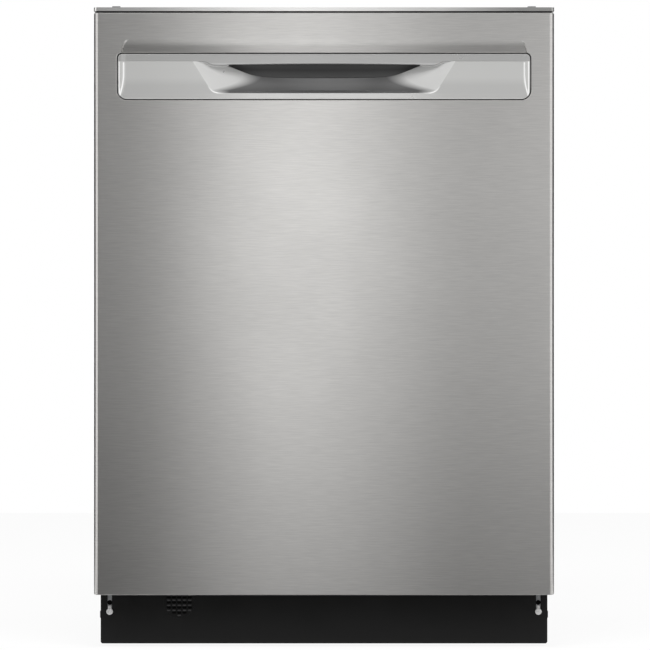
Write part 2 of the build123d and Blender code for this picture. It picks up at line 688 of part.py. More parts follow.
def countertop_brackets():
    """The two upright tabs that fasten the machine under a worktop."""
    y = FLANGE_Y + SHEET
    span = (BRACKET_X - BRACKET_WIDTH / 2, BRACKET_X + BRACKET_WIDTH / 2)
    strap = block(span, (y, y + BRACKET_SHEET), (BRACKET_TOP_Z - BRACKET_FOOT, BRACKET_TOP_Z))
    tab = block(span, (y, y + BRACKET_TAB), (BRACKET_TOP_Z - BRACKET_SHEET, BRACKET_TOP_Z))
    hole = (BRACKET_X, y + BRACKET_TAB - BRACKET_HOLE_MARGIN)
    tab -= rod((*hole, BRACKET_TOP_Z - BRACKET_SHEET - 1), (*hole, BRACKET_TOP_Z + 1), BRACKET_HOLE_RADIUS)
    bracket = strap + tab
    return [bracket, mirrored(bracket)]


def tub_gasket():
    """Rubber seal on the tub's flange, up both sides and across the top."""
    outer = FLANGE_HALF - GASKET_MARGIN
    inner = outer - GASKET_WIDTH
    top = TUB_CEILING_Z + GASKET_MARGIN + GASKET_WIDTH
    y = (LINER_Y + GAP, FLANGE_Y)
    seal = rounded((-outer, outer), y, (LEDGE_Z - APRON, top), 14, Axis.Y)
    opening = block((-inner, inner), (y[0] - 1, y[1] + 1), (LEDGE_Z - APRON - 1, top - GASKET_WIDTH))
    opening = fillet(opening.edges().filter_by(Axis.Y).group_by(Axis.Z)[-1], 6)
    seal -= opening
    return seal - block((-outer, outer), (y[0] - 1, y[1] + 1), (0, LEDGE_Z - 1))


def door_strike():
    """Steel finger on the tub's top flange that the door latch takes hold of."""
    half = STRIKE_PLATE_WIDTH / 2
    plate = block((-half, half), (FLANGE_Y - 1.5, FLANGE_Y), (TUB_TOP_Z - 10, TUB_TOP_Z))
    z = (STRIKE_Z - STRIKE_THICKNESS / 2, STRIKE_Z + STRIKE_THICKNESS / 2)
    finger = block((-STRIKE_WIDTH / 2, STRIKE_WIDTH / 2), (FLANGE_Y - STRIKE_REACH, FLANGE_Y - 1.5), z)
    slot = block((-STRIKE_SLOT_WIDTH / 2, STRIKE_SLOT_WIDTH / 2),
                 (FLANGE_Y - STRIKE_REACH + 3, FLANGE_Y - STRIKE_REACH + 10), (z[0] - 1, z[1] + 1))
    return plate + finger - slot


def hinge_pins():
    """The two pins that the door turns on, headed at their inner ends."""
    head_end = PIN_HEAD_X - PIN_HEAD_THICKNESS
    head = rod((head_end, HINGE_Y, HINGE_Z), (PIN_HEAD_X, HINGE_Y, HINGE_Z), PIN_HEAD_RADIUS)
    pin = head + rod((PIN_HEAD_X, HINGE_Y, HINGE_Z), (EAR_OUTER_X, HINGE_Y, HINGE_Z), PIN_RADIUS)
    return [pin, mirrored(pin)]


# Sump, filters, pumps and plumbing


def turned(points):
    """A profile of radius and height, turned about the sump's axis."""
    return Pos(0, SUMP_Y, 0) * revolve(Plane.XZ * Polygon(*points, align=None), axis=Axis.Z)


def sump():
    """Plastic bowl under the tub with the central post for the lower spray arm and two pump ports."""
    under = RECESS_Z - SHEET
    top_radius = SUMP_HOLE_RADIUS - GAP
    flange = SUMP_HOLE_RADIUS + SUMP_FLANGE
    body = turned([(0, SUMP_BOTTOM_Z), (SUMP_BOTTOM_RADIUS, SUMP_BOTTOM_Z), (top_radius, SUMP_SHOULDER_Z),
                   (top_radius, under - SUMP_FLANGE_THICKNESS), (flange, under - SUMP_FLANGE_THICKNESS),
                   (flange, under), (top_radius, under), (top_radius, RECESS_Z), (0, RECESS_Z)])
    body += rod((PUMP_PORT_X, SUMP_Y, PUMP_Z), (0, SUMP_Y, PUMP_Z), PUMP_PORT_RADIUS)
    body += rod((DRAIN_PORT_X, SUMP_Y, DRAIN_Z), (0, SUMP_Y, DRAIN_Z), DRAIN_PORT_RADIUS)
    floor = SUMP_BOTTOM_Z + SUMP_WALL
    body -= turned([(0, floor), (SUMP_BOTTOM_RADIUS - SUMP_WALL, floor),
                    (top_radius - SUMP_WALL, SUMP_SHOULDER_Z + 1), (top_radius - SUMP_WALL, RECESS_Z + 1),
                    (0, RECESS_Z + 1)])
    body -= rod((PUMP_PORT_X - 1, SUMP_Y, PUMP_Z), (0, SUMP_Y, PUMP_Z), PUMP_PORT_RADIUS - SUMP_WALL)
    body -= rod((DRAIN_PORT_X + 1, SUMP_Y, DRAIN_Z), (0, SUMP_Y, DRAIN_Z), DRAIN_PORT_RADIUS - SUMP_WALL)
    body += rod((0, SUMP_Y, SUMP_BOTTOM_Z), (0, SUMP_Y, POST_TOP_Z), POST_RADIUS)
    return body + rod((0, SUMP_Y, POST_TOP_Z), (0, SUMP_Y, POST_TOP_Z + SPIGOT_HEIGHT), SPIGOT_RADIUS)


def filter_centre():
    """Where the fine filter stands in the sump."""
    return 0, SUMP_Y - FILTER_OFFSET


def coarse_filter():
    """Perforated plate over the sump, with holes for the post and the fine filter."""
    z = (RECESS_Z, RECESS_Z + COARSE_THICKNESS)
    x, y = filter_centre()
    radius = SUMP_HOLE_RADIUS - 2 * GAP
    plate = rod((0, SUMP_Y, z[0]), (0, SUMP_Y, z[1]), radius)
    plate -= rod((0, SUMP_Y, z[0] - 1), (0, SUMP_Y, z[1] + 1), POST_RADIUS + GAP)
    plate -= rod((x, y, z[0] - 1), (x, y, z[1] + 1), FILTER_RADIUS + GAP)
    holes = []
    for ring, count in ((38, 14), (52, 20), (66, 26)):
        for i in range(count):
            angle = 2 * math.pi * i / count
            hole = (ring * math.cos(angle), SUMP_Y + ring * math.sin(angle))
            if math.hypot(hole[0] - x, hole[1] - y) > FILTER_RIM_RADIUS + 5:
                holes.append(rod((*hole, z[0] - 1), (*hole, z[1] + 1), 2.5))
    return plate - holes


def fine_filter():
    """Filter cup that turns to lock in the sump, with a rim and a grip across its mouth."""
    x, y = filter_centre()
    rim_z = RECESS_Z + COARSE_THICKNESS + GAP
    cup = rod((x, y, FILTER_BOTTOM_Z), (x, y, rim_z), FILTER_RADIUS)
    cup += rod((x, y, rim_z), (x, y, rim_z + FILTER_RIM_THICKNESS), FILTER_RIM_RADIUS)
    cup -= rod((x, y, FILTER_BOTTOM_Z + FILTER_WALL), (x, y, rim_z + 10), FILTER_RADIUS - FILTER_WALL)
    grip_z = (rim_z, rim_z + FILTER_GRIP_HEIGHT)
    return cup + block((x - FILTER_RADIUS, x + FILTER_RADIUS), (y - 2, y + 2), grip_z)


def wash_pump_housing():
    """Wash pump on the left of the sump: volute, outlet and motor."""
    face = PUMP_PORT_X - VOLUTE_THICKNESS
    end = face - MOTOR_LENGTH
    body = rod((face, SUMP_Y, PUMP_Z), (PUMP_PORT_X, SUMP_Y, PUMP_Z), VOLUTE_RADIUS)
    body += rod((end, SUMP_Y, PUMP_Z), (face, SUMP_Y, PUMP_Z), MOTOR_RADIUS)
    middle = PUMP_PORT_X - VOLUTE_THICKNESS / 2
    body += rod((middle, SUMP_Y, PUMP_Z), (middle, SUMP_Y + OUTLET_REACH, PUMP_Z), OUTLET_RADIUS)
    cavity = (face + VOLUTE_WALL, PUMP_PORT_X - VOLUTE_WALL)
    body -= rod((cavity[0], SUMP_Y, PUMP_Z), (cavity[1], SUMP_Y, PUMP_Z), VOLUTE_RADIUS - 2 * VOLUTE_WALL)
    body -= rod((cavity[0], SUMP_Y, PUMP_Z), (PUMP_PORT_X + 1, SUMP_Y, PUMP_Z), PUMP_PORT_RADIUS - SUMP_WALL)
    body -= rod((middle, SUMP_Y, PUMP_Z), (middle, SUMP_Y + OUTLET_REACH + 1, PUMP_Z), FEED_RADIUS - 2)
    shaft_radius = IMPELLER_SHAFT_RADIUS + PIN_CLEARANCE
    return body - rod((face - 25, SUMP_Y, PUMP_Z), (face + 5, SUMP_Y, PUMP_Z), shaft_radius)


def wash_pump_impeller():
    """Vaned impeller and its shaft, inside the volute."""
    face = PUMP_PORT_X - VOLUTE_THICKNESS + VOLUTE_WALL
    disc = (face + 2, face + 5)
    body = rod((disc[0], SUMP_Y, PUMP_Z), (disc[1], SUMP_Y, PUMP_Z), IMPELLER_RADIUS)
    body += rod((disc[1], SUMP_Y, PUMP_Z), (disc[1] + 10, SUMP_Y, PUMP_Z), 9)
    body += rod((face - 20, SUMP_Y, PUMP_Z), (disc[0], SUMP_Y, PUMP_Z), IMPELLER_SHAFT_RADIUS)
    vane = block((disc[1], disc[1] + 9), (7, IMPELLER_RADIUS - 2), (-1, 1))
    for i in range(IMPELLER_VANES):
        body += Pos(0, SUMP_Y, PUMP_Z) * Rot(360 / IMPELLER_VANES * i, 0, 0) * vane
    return body


def drain_pump():
    """Drain pump on the right of the sump, with a collared spigot for the drain hose."""
    end = DRAIN_PORT_X + DRAIN_PUMP_LENGTH
    body = rod((DRAIN_PORT_X, SUMP_Y, DRAIN_Z), (end, SUMP_Y, DRAIN_Z), DRAIN_PUMP_RADIUS)
    body += rod((end, SUMP_Y, DRAIN_Z), (end + DRAIN_MOTOR_LENGTH, SUMP_Y, DRAIN_Z), DRAIN_MOTOR_RADIUS)
    middle = DRAIN_PORT_X + DRAIN_PUMP_LENGTH / 2
    tip = SUMP_Y + DRAIN_SPIGOT_REACH
    body += rod((middle, SUMP_Y, DRAIN_Z), (middle, tip, DRAIN_Z), DRAIN_SPIGOT_RADIUS)
    collar_end = SUMP_Y + DRAIN_COLLAR_REACH
    body += rod((middle, SUMP_Y, DRAIN_Z), (middle, collar_end, DRAIN_Z), DRAIN_COLLAR_RADIUS)
    return body - rod((middle, SUMP_Y + 10, DRAIN_Z), (middle, tip + 1, DRAIN_Z), DRAIN_SPIGOT_BORE)


def inlet_valve():
    """Solenoid water valve on the front rail's shelf, with its threaded inlet and hose nipple at the back."""
    x = (VALVE_X - VALVE_WIDTH / 2, VALVE_X + VALVE_WIDTH / 2)
    y = (VALVE_Y - VALVE_DEPTH / 2, VALVE_Y + VALVE_DEPTH / 2)
    top = RAIL_FLOOR_Z + VALVE_HEIGHT
    body = rounded(x, y, (RAIL_FLOOR_Z, top), 4, Axis.Z)
    body += rod((VALVE_X, VALVE_Y, top), (VALVE_X, VALVE_Y, top + VALVE_COIL_HEIGHT), VALVE_COIL_RADIUS)
    body += rod((hose_start_x(), y[1], valve_port_z()), (hose_start_x(), hose_start_y(), valve_port_z()), HOSE_RADIUS)
    inlet_x = VALVE_X + VALVE_INLET_OFFSET
    inlet_start = (inlet_x, y[1] - VALVE_INLET_DEPTH, valve_port_z())
    return body - rod(inlet_start, (inlet_x, y[1] + 1, valve_port_z()), VALVE_INLET_RADIUS)


def valve_port_z():
    """Height of the water valve's inlet and outlet."""
    return RAIL_FLOOR_Z + VALVE_HEIGHT / 2


def hose_start_x():
    """Sideways place of the water valve's hose nipple."""
    return VALVE_X + VALVE_NIPPLE_OFFSET


def hose_start_y():
    """Where the fill hose leaves the water valve's nipple."""
    return VALVE_Y + VALVE_DEPTH / 2 + VALVE_NIPPLE_LENGTH


def fill_hose():
    """Hose from the water valve up the left side to the tub's inlet block."""
    z = valve_port_z()
    points = [(hose_start_x(), hose_start_y(), z), (hose_start_x(), HOSE_Y - 60, z), (-HOSE_X, HOSE_Y, z + 25),
              (-HOSE_X, HOSE_Y, HOSE_TOP_Z)]
    return bent_tube(points, [45, 20], HOSE_RADIUS) + hose_port(0)


def heating_element():
    """Sheathed heater loop over the tub's well, with both tails down through the floor."""
    left, right = HEATER_END_X
    rear = HEATER_REAR_Y
    points = [(right, rear, HEATER_TAIL_Z), (right, rear, HEATER_Z), (HEATER_HALF_WIDTH, rear, HEATER_Z),
              (HEATER_HALF_WIDTH, HEATER_FRONT_Y, HEATER_Z), (-HEATER_HALF_WIDTH, HEATER_FRONT_Y, HEATER_Z),
              (-HEATER_HALF_WIDTH, rear, HEATER_Z), (left, rear, HEATER_Z), (left, rear, HEATER_TAIL_Z)]
    radii = [HEATER_END_BEND] + [HEATER_BEND] * 4 + [HEATER_END_BEND]
    return bent_tube(points, radii, HEATER_RADIUS)


def feed_tube():
    """Water tube from the wash pump up the tub's back wall to the top nozzle, with the upper arm's port."""
    pump_x = PUMP_PORT_X - VOLUTE_THICKNESS / 2
    start = (pump_x, SUMP_Y + OUTLET_REACH, PUMP_Z)
    points = [start, (pump_x, FEED_Y, PUMP_Z), (0, FEED_Y, PUMP_Z)]
    points += [(0, FEED_Y, FEED_TOP_Z), (0, NOZZLE_Y, FEED_TOP_Z)]
    tube = bent_tube(points, [FEED_BEND] * 3, FEED_RADIUS)
    tube += rod((0, FEED_Y, UPPER_MANIFOLD_Z), (0, upper_port_y(), UPPER_MANIFOLD_Z), FEED_RADIUS + 1)
    low = FEED_TOP_Z - NOZZLE_HEIGHT
    high = FEED_TOP_Z + FEED_RADIUS + NOZZLE_CAP
    tube += rod((0, NOZZLE_Y, low), (0, NOZZLE_Y, high), NOZZLE_RADIUS)
    return tube + rod((0, NOZZLE_Y, high), (0, NOZZLE_Y, TUB_CEILING_Z), FEED_RADIUS)


def upper_port_y():
    """Front face of the port that feeds the upper spray arm."""
    return FEED_Y - 16


def float_guard():
    """Overfill float: a dome with a stem through the tub's floor."""
    low = RECESS_Z + 2
    body = rod((FLOAT_X, FLOAT_Y, low), (FLOAT_X, FLOAT_Y, low + FLOAT_HEIGHT), FLOAT_RADIUS)
    body = fillet(body.edges().sort_by(Axis.Z)[-1], FLOAT_RADIUS * 0.5)
    return body + rod((FLOAT_X, FLOAT_Y, FLOAT_STEM_BOTTOM_Z), (FLOAT_X, FLOAT_Y, low), FLOAT_STEM_RADIUS)


def junction_box():
    """Steel box for the supply wires, on the front rail's shelf, with a conduit knockout at its back."""
    x = (JUNCTION_X - JUNCTION_WIDTH / 2, JUNCTION_X + JUNCTION_WIDTH / 2)
    y = (JUNCTION_Y - JUNCTION_DEPTH / 2, JUNCTION_Y + JUNCTION_DEPTH / 2)
    z = (RAIL_FLOOR_Z, RAIL_FLOOR_Z + JUNCTION_HEIGHT)
    wall = JUNCTION_WALL
    inner = block((x[0] + wall, x[1] - wall), (y[0] + wall, y[1] - wall), (z[0] + wall, z[1] - wall))
    middle = (z[0] + z[1]) / 2
    knockout = rod((JUNCTION_X, y[1] - 2 * wall, middle), (JUNCTION_X, y[1] + 1, middle), KNOCKOUT_RADIUS)
    return block(x, y, z) - inner - knockout


def wiring_harness():
    """Wire bundle from the junction box across the base to the wash pump's motor."""
    start_x = JUNCTION_X - JUNCTION_WIDTH / 2
    z = RAIL_FLOOR_Z + JUNCTION_HEIGHT / 2
    motor_x = PUMP_PORT_X - VOLUTE_THICKNESS - MOTOR_LENGTH / 2
    motor_y = SUMP_Y - MOTOR_RADIUS
    points = [(start_x, JUNCTION_Y, z), (start_x - 45, JUNCTION_Y, z), (40, -150, 40), (-90, -160, 40),
              (motor_x, -110, PUMP_Z), (motor_x, motor_y - GAP, PUMP_Z)]
    return bent_tube(points, [50, 70, 50, 40], HARNESS_RADIUS)


def leg(x, y):
    """Levelling leg: foot pad, adjusting nut and rod."""
    body = rod((x, y, 0), (x, y, LEG_PAD_HEIGHT), LEG_PAD_RADIUS)
    body = fillet(body.edges().sort_by(Axis.Z)[-1], 3)
    nut = Pos(x, y, LEG_PAD_HEIGHT) * extrude(RegularPolygon(LEG_NUT_RADIUS, 6), amount=LEG_NUT_HEIGHT)
    return body + nut + rod((x, y, LEG_PAD_HEIGHT), (x, y, LEG_TOP_Z), LEG_ROD_RADIUS)


# Door balance


def door_springs():
    """Balance springs beside the tub, from the frame's anchors to the cables."""
    start = (ARM_MID_X, CABLE_END_Y, CABLE_Z)
    end = (ARM_MID_X, SPRING_END_Y, CABLE_Z)
    coil = rod(start, end, SPRING_RADIUS)
    inner_start = (ARM_MID_X, CABLE_END_Y + SPRING_WIRE, CABLE_Z)
    inner_end = (ARM_MID_X, SPRING_END_Y - SPRING_WIRE, CABLE_Z)
    coil -= rod(inner_start, inner_end, SPRING_RADIUS - SPRING_WIRE)
    return [coil, mirrored(coil)]


def door_cables():
    """Cables from the balance springs to the hinge sectors."""
    cable = rod((ARM_MID_X, HINGE_Y, CABLE_Z), (ARM_MID_X, CABLE_END_Y, CABLE_Z), CABLE_RADIUS)
    return [cable, mirrored(cable)]


def hinge_arms():
    """Hinge arms on the door, each with a cable sector, a lug for the cable and a foot on the liner."""
    x = (ARM_INNER_X, ARM_OUTER_X)
    sector = rod((x[0], HINGE_Y, HINGE_Z), (x[1], HINGE_Y, HINGE_Z), SECTOR_RADIUS)
    reach = SECTOR_RADIUS + 1
    sector -= block((x[0] - 1, x[1] + 1), (HINGE_Y - reach, HINGE_Y), (HINGE_Z - reach, HINGE_Z + reach))
    sector -= block((x[0] - 1, x[1] + 1), (HINGE_Y, HINGE_Y + reach), (HINGE_Z - reach, HINGE_Z))
    hub = rod((x[0], HINGE_Y, HINGE_Z), (x[1], HINGE_Y, HINGE_Z), PIN_RADIUS * 3)
    top = HINGE_Z + ARM_TOP_RISE
    foot_y = (LINER_BACK_Y - ARM_FOOT_THICKNESS, LINER_BACK_Y)
    bar = block(x, (HINGE_Y - 20, HINGE_Y), (HINGE_Z, top))
    web = block(x, (HINGE_Y - 20, foot_y[1]), (LINER_NOTCH_Z + 10, top))
    foot = block((x[0], LINER_HALF - 3), foot_y, (LINER_NOTCH_Z + 10, top))
    lug_y = (HINGE_Y - 4, HINGE_Y)
    lug = block(x, lug_y, (HINGE_Z + SECTOR_RADIUS - 4, CABLE_Z + 2 * CABLE_RADIUS))
    arm = hub + sector + bar + web + foot + lug
    arm -= rod((x[0] - 1, HINGE_Y, HINGE_Z), (x[1] + 1, HINGE_Y, HINGE_Z), PIN_RADIUS + PIN_CLEARANCE)
    return [arm, mirrored(arm)]


# Door


def handle_outline(grow):
    """The handle's front outline, with small corners above and larger ones below."""
    low, high = HANDLE_BOTTOM_Z - grow, HANDLE_TOP_Z + grow
    outline = Pos(0, (low + high) / 2) * Rectangle(HANDLE_WIDTH + 2 * grow, high - low)
    outline = fillet(outline.vertices().group_by(Axis.Y)[0], HANDLE_BOTTOM_RADIUS + grow)
    return fillet(outline.vertices().group_by(Axis.Y)[-1], HANDLE_TOP_RADIUS + grow)


def door_outer_panel():
    """Stainless outer skin folded back at all four edges, with the opening for the handle."""
    outer = block((-DOOR_HALF, DOOR_HALF), (FRONT_Y, PANEL_RETURN_Y), (PANEL_BOTTOM_Z, PANEL_TOP_Z))
    outer = fillet(outer.edges().filter_by(Axis.Z).group_by(Axis.Y)[0], PANEL_EDGE_RADIUS)
    half = DOOR_HALF - SHEET
    inner_z = (PANEL_BOTTOM_Z + SHEET, PANEL_TOP_Z - SHEET)
    inner = block((-half, half), (FRONT_Y + SHEET, PANEL_RETURN_Y + 1), inner_z)
    inner = fillet(inner.edges().filter_by(Axis.Z).group_by(Axis.Y)[0], PANEL_EDGE_RADIUS - SHEET)
    skin = outer - inner
    beyond = (FRONT_Y + PANEL_EDGE_RETURN, PANEL_RETURN_Y + 1)
    skin -= block((-half, half), beyond, (PANEL_BOTTOM_Z - 1, PANEL_TOP_Z + 1))
    lip_z = (LINER_NOTCH_Z, PANEL_TOP_Z - SHEET)
    lip = block((half - PANEL_LIP + SHEET, half), (PANEL_RETURN_Y - SHEET, PANEL_RETURN_Y), lip_z)
    for z in door_screw_heights():
        x = door_screw_x()
        lip -= rod((x, PANEL_RETURN_Y - 2, z), (x, PANEL_RETURN_Y + 1, z), SCREW_RADIUS)
    skin += lip + mirrored(lip)
    return skin - prism(handle_outline(HANDLE_GAP), FRONT_Y - 1, FRONT_Y + 2 * SHEET)


def trapezoid(bottom_width, top_width, low, high, radius):
    """A symmetric outline, wider at the top, with its two lower corners rounded."""
    left, right = -bottom_width / 2, bottom_width / 2
    outline = Polygon((left, low), (right, low), (top_width / 2, high), (-top_width / 2, high), align=None)
    return fillet(outline.vertices().group_by(Axis.Y)[0], radius)


def scoop(grow):
    """The hollow for the fingers, narrowing from the handle's face to its back, grown by a wall."""
    low, high = HANDLE_BOTTOM_Z + SCOOP_RIM - grow, HANDLE_TOP_Z - LIP_HEIGHT + grow
    front = trapezoid(SCOOP_BOTTOM_WIDTH + 2 * grow, SCOOP_TOP_WIDTH + 2 * grow, low, high, SCOOP_RADIUS + grow)
    low = HANDLE_BOTTOM_Z + SCOOP_BACK_LOW - grow
    high = HANDLE_TOP_Z - SCOOP_BACK_TOP_MARGIN - HANDLE_WALL + grow
    back = trapezoid(SCOOP_BACK_BOTTOM_WIDTH + 2 * grow, SCOOP_BACK_TOP_WIDTH + 2 * grow, low, high,
                     SCOOP_BACK_RADIUS + grow)
    near = front_plane(FRONT_Y + TRAY_DEPTH - 0.5)
    far = front_plane(FRONT_Y + SCOOP_DEPTH + grow)
    return loft([near * front, far * back], ruled=True)


def handle_pocket():
    """Full-width handle insert: a lip above, a shallow tray and a scoop for the fingers behind the lip."""
    body = prism(handle_outline(0), FRONT_Y, FRONT_Y + HANDLE_PLATE)
    flange_y = FRONT_Y + SHEET
    body += prism(handle_outline(HANDLE_GAP + HANDLE_FLANGE), flange_y, flange_y + HANDLE_FLANGE_THICKNESS)
    body += scoop(HANDLE_WALL)
    lip_z = HANDLE_TOP_Z - LIP_HEIGHT
    tray_half = HANDLE_WIDTH / 2 - TRAY_RIM
    tray = block((-tray_half, tray_half), (FRONT_Y - 1, FRONT_Y + TRAY_DEPTH), (HANDLE_BOTTOM_Z + 1, lip_z))
    tray = fillet(tray.edges().filter_by(Axis.Y).group_by(Axis.Z)[0], HANDLE_BOTTOM_RADIUS - 3)
    body -= tray
    body -= scoop(0)
    half = LIP_DROP_WIDTH / 2
    drop = block((-half, half), (FRONT_Y, FRONT_Y + LIP_THICKNESS), (lip_z - LIP_DROP, lip_z + 2))
    return body + drop


def door_screw_heights():
    """Heights of the screws down each side of the inner door."""
    return spread(DOOR_SCREW_LOW_Z, DOOR_SCREW_HIGH_Z, DOOR_SCREW_COUNT)


def door_screw_x():
    """Distance of the door screws from the middle, between the seal and the door's edge."""
    return (FLANGE_HALF + LINER_HALF) / 2 + 2


def dispenser_span(margin):
    """The dispenser's outline on the inner door, drawn in by a margin."""
    half_x = DISPENSER_WIDTH / 2 - margin
    half_z = DISPENSER_HEIGHT / 2 - margin
    return (DISPENSER_X - half_x, DISPENSER_X + half_x), (DISPENSER_Z - half_z, DISPENSER_Z + half_z)


def door_liner():
    """Stainless inner door, notched for the hinges, with openings for the dispenser, vent and latch."""
    wide = (-LINER_HALF, LINER_HALF)
    narrow = (-LINER_LOWER_HALF, LINER_LOWER_HALF)
    upper_z = (LINER_NOTCH_Z, PANEL_TOP_Z)
    lower_z = (LINER_BOTTOM_Z, LINER_NOTCH_Z)
    return_y = (LINER_Y - LINER_RETURN, LINER_Y)
    liner = block(wide, (LINER_BACK_Y, LINER_Y), upper_z) + block(narrow, (LINER_BACK_Y, LINER_Y), lower_z)
    liner += block(narrow, return_y, (LINER_BOTTOM_Z, LINER_BOTTOM_Z + SHEET))
    liner += block(wide, (PANEL_RETURN_Y, LINER_Y), (PANEL_TOP_Z - SHEET, PANEL_TOP_Z))
    side = block((LINER_HALF - SHEET, LINER_HALF), (PANEL_RETURN_Y, LINER_Y), upper_z)
    side += block((LINER_LOWER_HALF - SHEET, LINER_LOWER_HALF), return_y, lower_z)
    liner += side + mirrored(side)
    latch_half = LATCH_WIDTH / 2 + GAP
    top_z = (PANEL_TOP_Z - 2 * SHEET, PANEL_TOP_Z + 1)
    liner -= block((-latch_half, latch_half), (PANEL_RETURN_Y - 1, LINER_BACK_Y), top_z)
    liner -= block(*console_bay(CONSOLE_WALL + GAP), top_z)
    mouth = LATCH_CAVITY_WIDTH / 2
    liner -= block((-mouth, mouth), (LINER_Y - 2, LINER_Y + 1), (STRIKE_Z - 5, PANEL_TOP_Z + 1))
    x, z = dispenser_span(DISPENSER_MARGIN - GAP)
    liner -= block(x, (LINER_Y - 2, LINER_Y + 1), z)
    liner -= rod((VENT_X, LINER_Y - 2, VENT_Z), (VENT_X, LINER_Y + 1, VENT_Z), VENT_NECK_RADIUS + GAP)
    for height in door_screw_heights():
        for x in (-door_screw_x(), door_screw_x()):
            liner -= rod((x, LINER_Y - 2, height), (x, LINER_Y + 1, height), SCREW_RADIUS)
    return liner


def door_insulation():
    """Damping pad behind the outer skin, below the handle."""
    half = INSULATION_WIDTH / 2
    y = (FRONT_Y + SHEET, FRONT_Y + SHEET + INSULATION_THICKNESS)
    top = HANDLE_BOTTOM_Z - HANDLE_GAP - HANDLE_FLANGE - 1
    return rounded((-half, half), y, (LINER_BOTTOM_Z + 8, top), 8, Axis.Y)


def console_bay(grow):
    """The pocket under the console that holds the circuit board, grown outwards by a wall."""
    half = BOARD_LENGTH / 2 + GAP + grow
    front = FRONT_Y + CONTROL_SETBACK - BOARD_DEPTH / 2 - GAP
    back = FRONT_Y + CONTROL_SETBACK + BOARD_DEPTH / 2 + GAP
    return (BOARD_X - half, BOARD_X + half), (front - grow, back + grow)


def button_hole(x, grow):
    """A button's rounded outline seen from above, grown outwards."""
    half = BUTTON_LENGTH / 2 + grow
    deep = BUTTON_DEPTH / 2 + grow
    y = FRONT_Y + CONTROL_SETBACK
    return (x - half, x + half), (y - deep, y + deep)


def control_console():
    """Top of the door: a thin cap over a recessed base, with the board's pocket and the button holes."""
    lip_z = PANEL_TOP_Z + CONSOLE_GAP
    cap = block((-DOOR_HALF, DOOR_HALF), (FRONT_Y, CONSOLE_BACK_Y), (lip_z, CONSOLE_TOP_Z))
    cap = fillet(cap.edges().filter_by(Axis.Z).group_by(Axis.Y)[0], CONSOLE_RADIUS)
    under_x = DOOR_HALF - CONSOLE_RIM
    shell = cap - block((-under_x, under_x), (FRONT_Y + CONSOLE_RIM, LINER_Y), (lip_z - 1, CONSOLE_UNDER_Z))
    outer_x = DOOR_HALF - CONSOLE_RECESS
    wall_y = (FRONT_Y + CONSOLE_RECESS, CONSOLE_BACK_Y - 1)
    wall_z = (PANEL_TOP_Z, CONSOLE_UNDER_Z)
    wall = block((-outer_x, outer_x), wall_y, wall_z)
    t = CONSOLE_WALL
    wall -= block((-outer_x + t, outer_x - t), (wall_y[0] + t, wall_y[1] - t), (wall_z[0] - 1, wall_z[1]))
    latch_half = LATCH_WIDTH / 2 + 1
    wall -= block((-latch_half, latch_half), (wall_y[1] - t - 1, wall_y[1] + 1), (wall_z[0] - 1, wall_z[1]))
    shell += wall
    bay = block(*console_bay(t), (CONSOLE_TOP_Z - BAY_DEPTH, CONSOLE_UNDER_Z))
    shell += bay - block(*console_bay(0), (bay_floor_z(), CONSOLE_UNDER_Z))
    for x in BUTTON_X:
        hole_x, hole_y = button_hole(x, GAP)
        shell -= rounded(hole_x, hole_y, (CONSOLE_UNDER_Z - 0.1, CONSOLE_TOP_Z + 1), 3, Axis.Z)
    window_z = (CONSOLE_TOP_Z - DISPLAY_THICKNESS, CONSOLE_TOP_Z + 1)
    return shell - rounded(*display_span(0), window_z, 2, Axis.Z)


def display_span(shrink):
    """The display window's outline seen from above."""
    half = DISPLAY_LENGTH / 2 - shrink
    deep = DISPLAY_DEPTH / 2 - shrink
    y = FRONT_Y + CONTROL_SETBACK
    return (DISPLAY_X - half, DISPLAY_X + half), (y - deep, y + deep)


def display_window():
    """Clear window let into the console over the display."""
    x, y = display_span(0)
    return rounded(x, y, (CONSOLE_TOP_Z - DISPLAY_THICKNESS, CONSOLE_TOP_Z), 2, Axis.Z)


def board_top_z():
    """Upper face of the circuit board."""
    return CONSOLE_TOP_Z - BOARD_DROP + BOARD_THICKNESS


def switch_top_z():
    """Top of the key switches under the buttons, clear of a pressed button."""
    return CONSOLE_UNDER_Z - GAP - 1.5 - 3.5 - BUTTON_TRAVEL - GAP


def control_board():
    """Circuit board with a key switch under each button and the display module."""
    half = BOARD_LENGTH / 2
    y = (FRONT_Y + CONTROL_SETBACK - BOARD_DEPTH / 2, FRONT_Y + CONTROL_SETBACK + BOARD_DEPTH / 2)
    top = board_top_z()
    board = block((BOARD_X - half, BOARD_X + half), y, (top - BOARD_THICKNESS, top))
    middle = FRONT_Y + CONTROL_SETBACK
    for x in BUTTON_X:
        board += block((x - 3, x + 3), (middle - 3, middle + 3), (top, switch_top_z()))
    x, y = display_span(8)
    board += block(x, y, (top, CONSOLE_UNDER_Z - 2))
    for x in (-1, 1):
        board += block((BOARD_X + x * 70 - 2, BOARD_X + x * 70 + 2), (middle - 7, middle + 7), (top, top + 2))
        board += rod((BOARD_X + x * 70, middle, bay_floor_z()), (BOARD_X + x * 70, middle, top), 2)
    return board


def bay_floor_z():
    """Floor of the board's pocket."""
    return CONSOLE_TOP_Z - BAY_DEPTH + CONSOLE_WALL


def button(x):
    """Push button: a cap in the console's hole, a flange below it and a stem over its switch."""
    cap_x, cap_y = button_hole(x, 0)
    flange_top = CONSOLE_UNDER_Z - GAP
    cap = rounded(cap_x, cap_y, (flange_top, CONSOLE_TOP_Z - 0.2), 3 - GAP, Axis.Z)
    flange_x, flange_y = button_hole(x, 1.5)
    flange = block(flange_x, flange_y, (flange_top - 1.5, flange_top))
    y = FRONT_Y + CONTROL_SETBACK
    return cap + flange + rod((x, y, flange_top - 5), (x, y, flange_top - 1.5), 2)


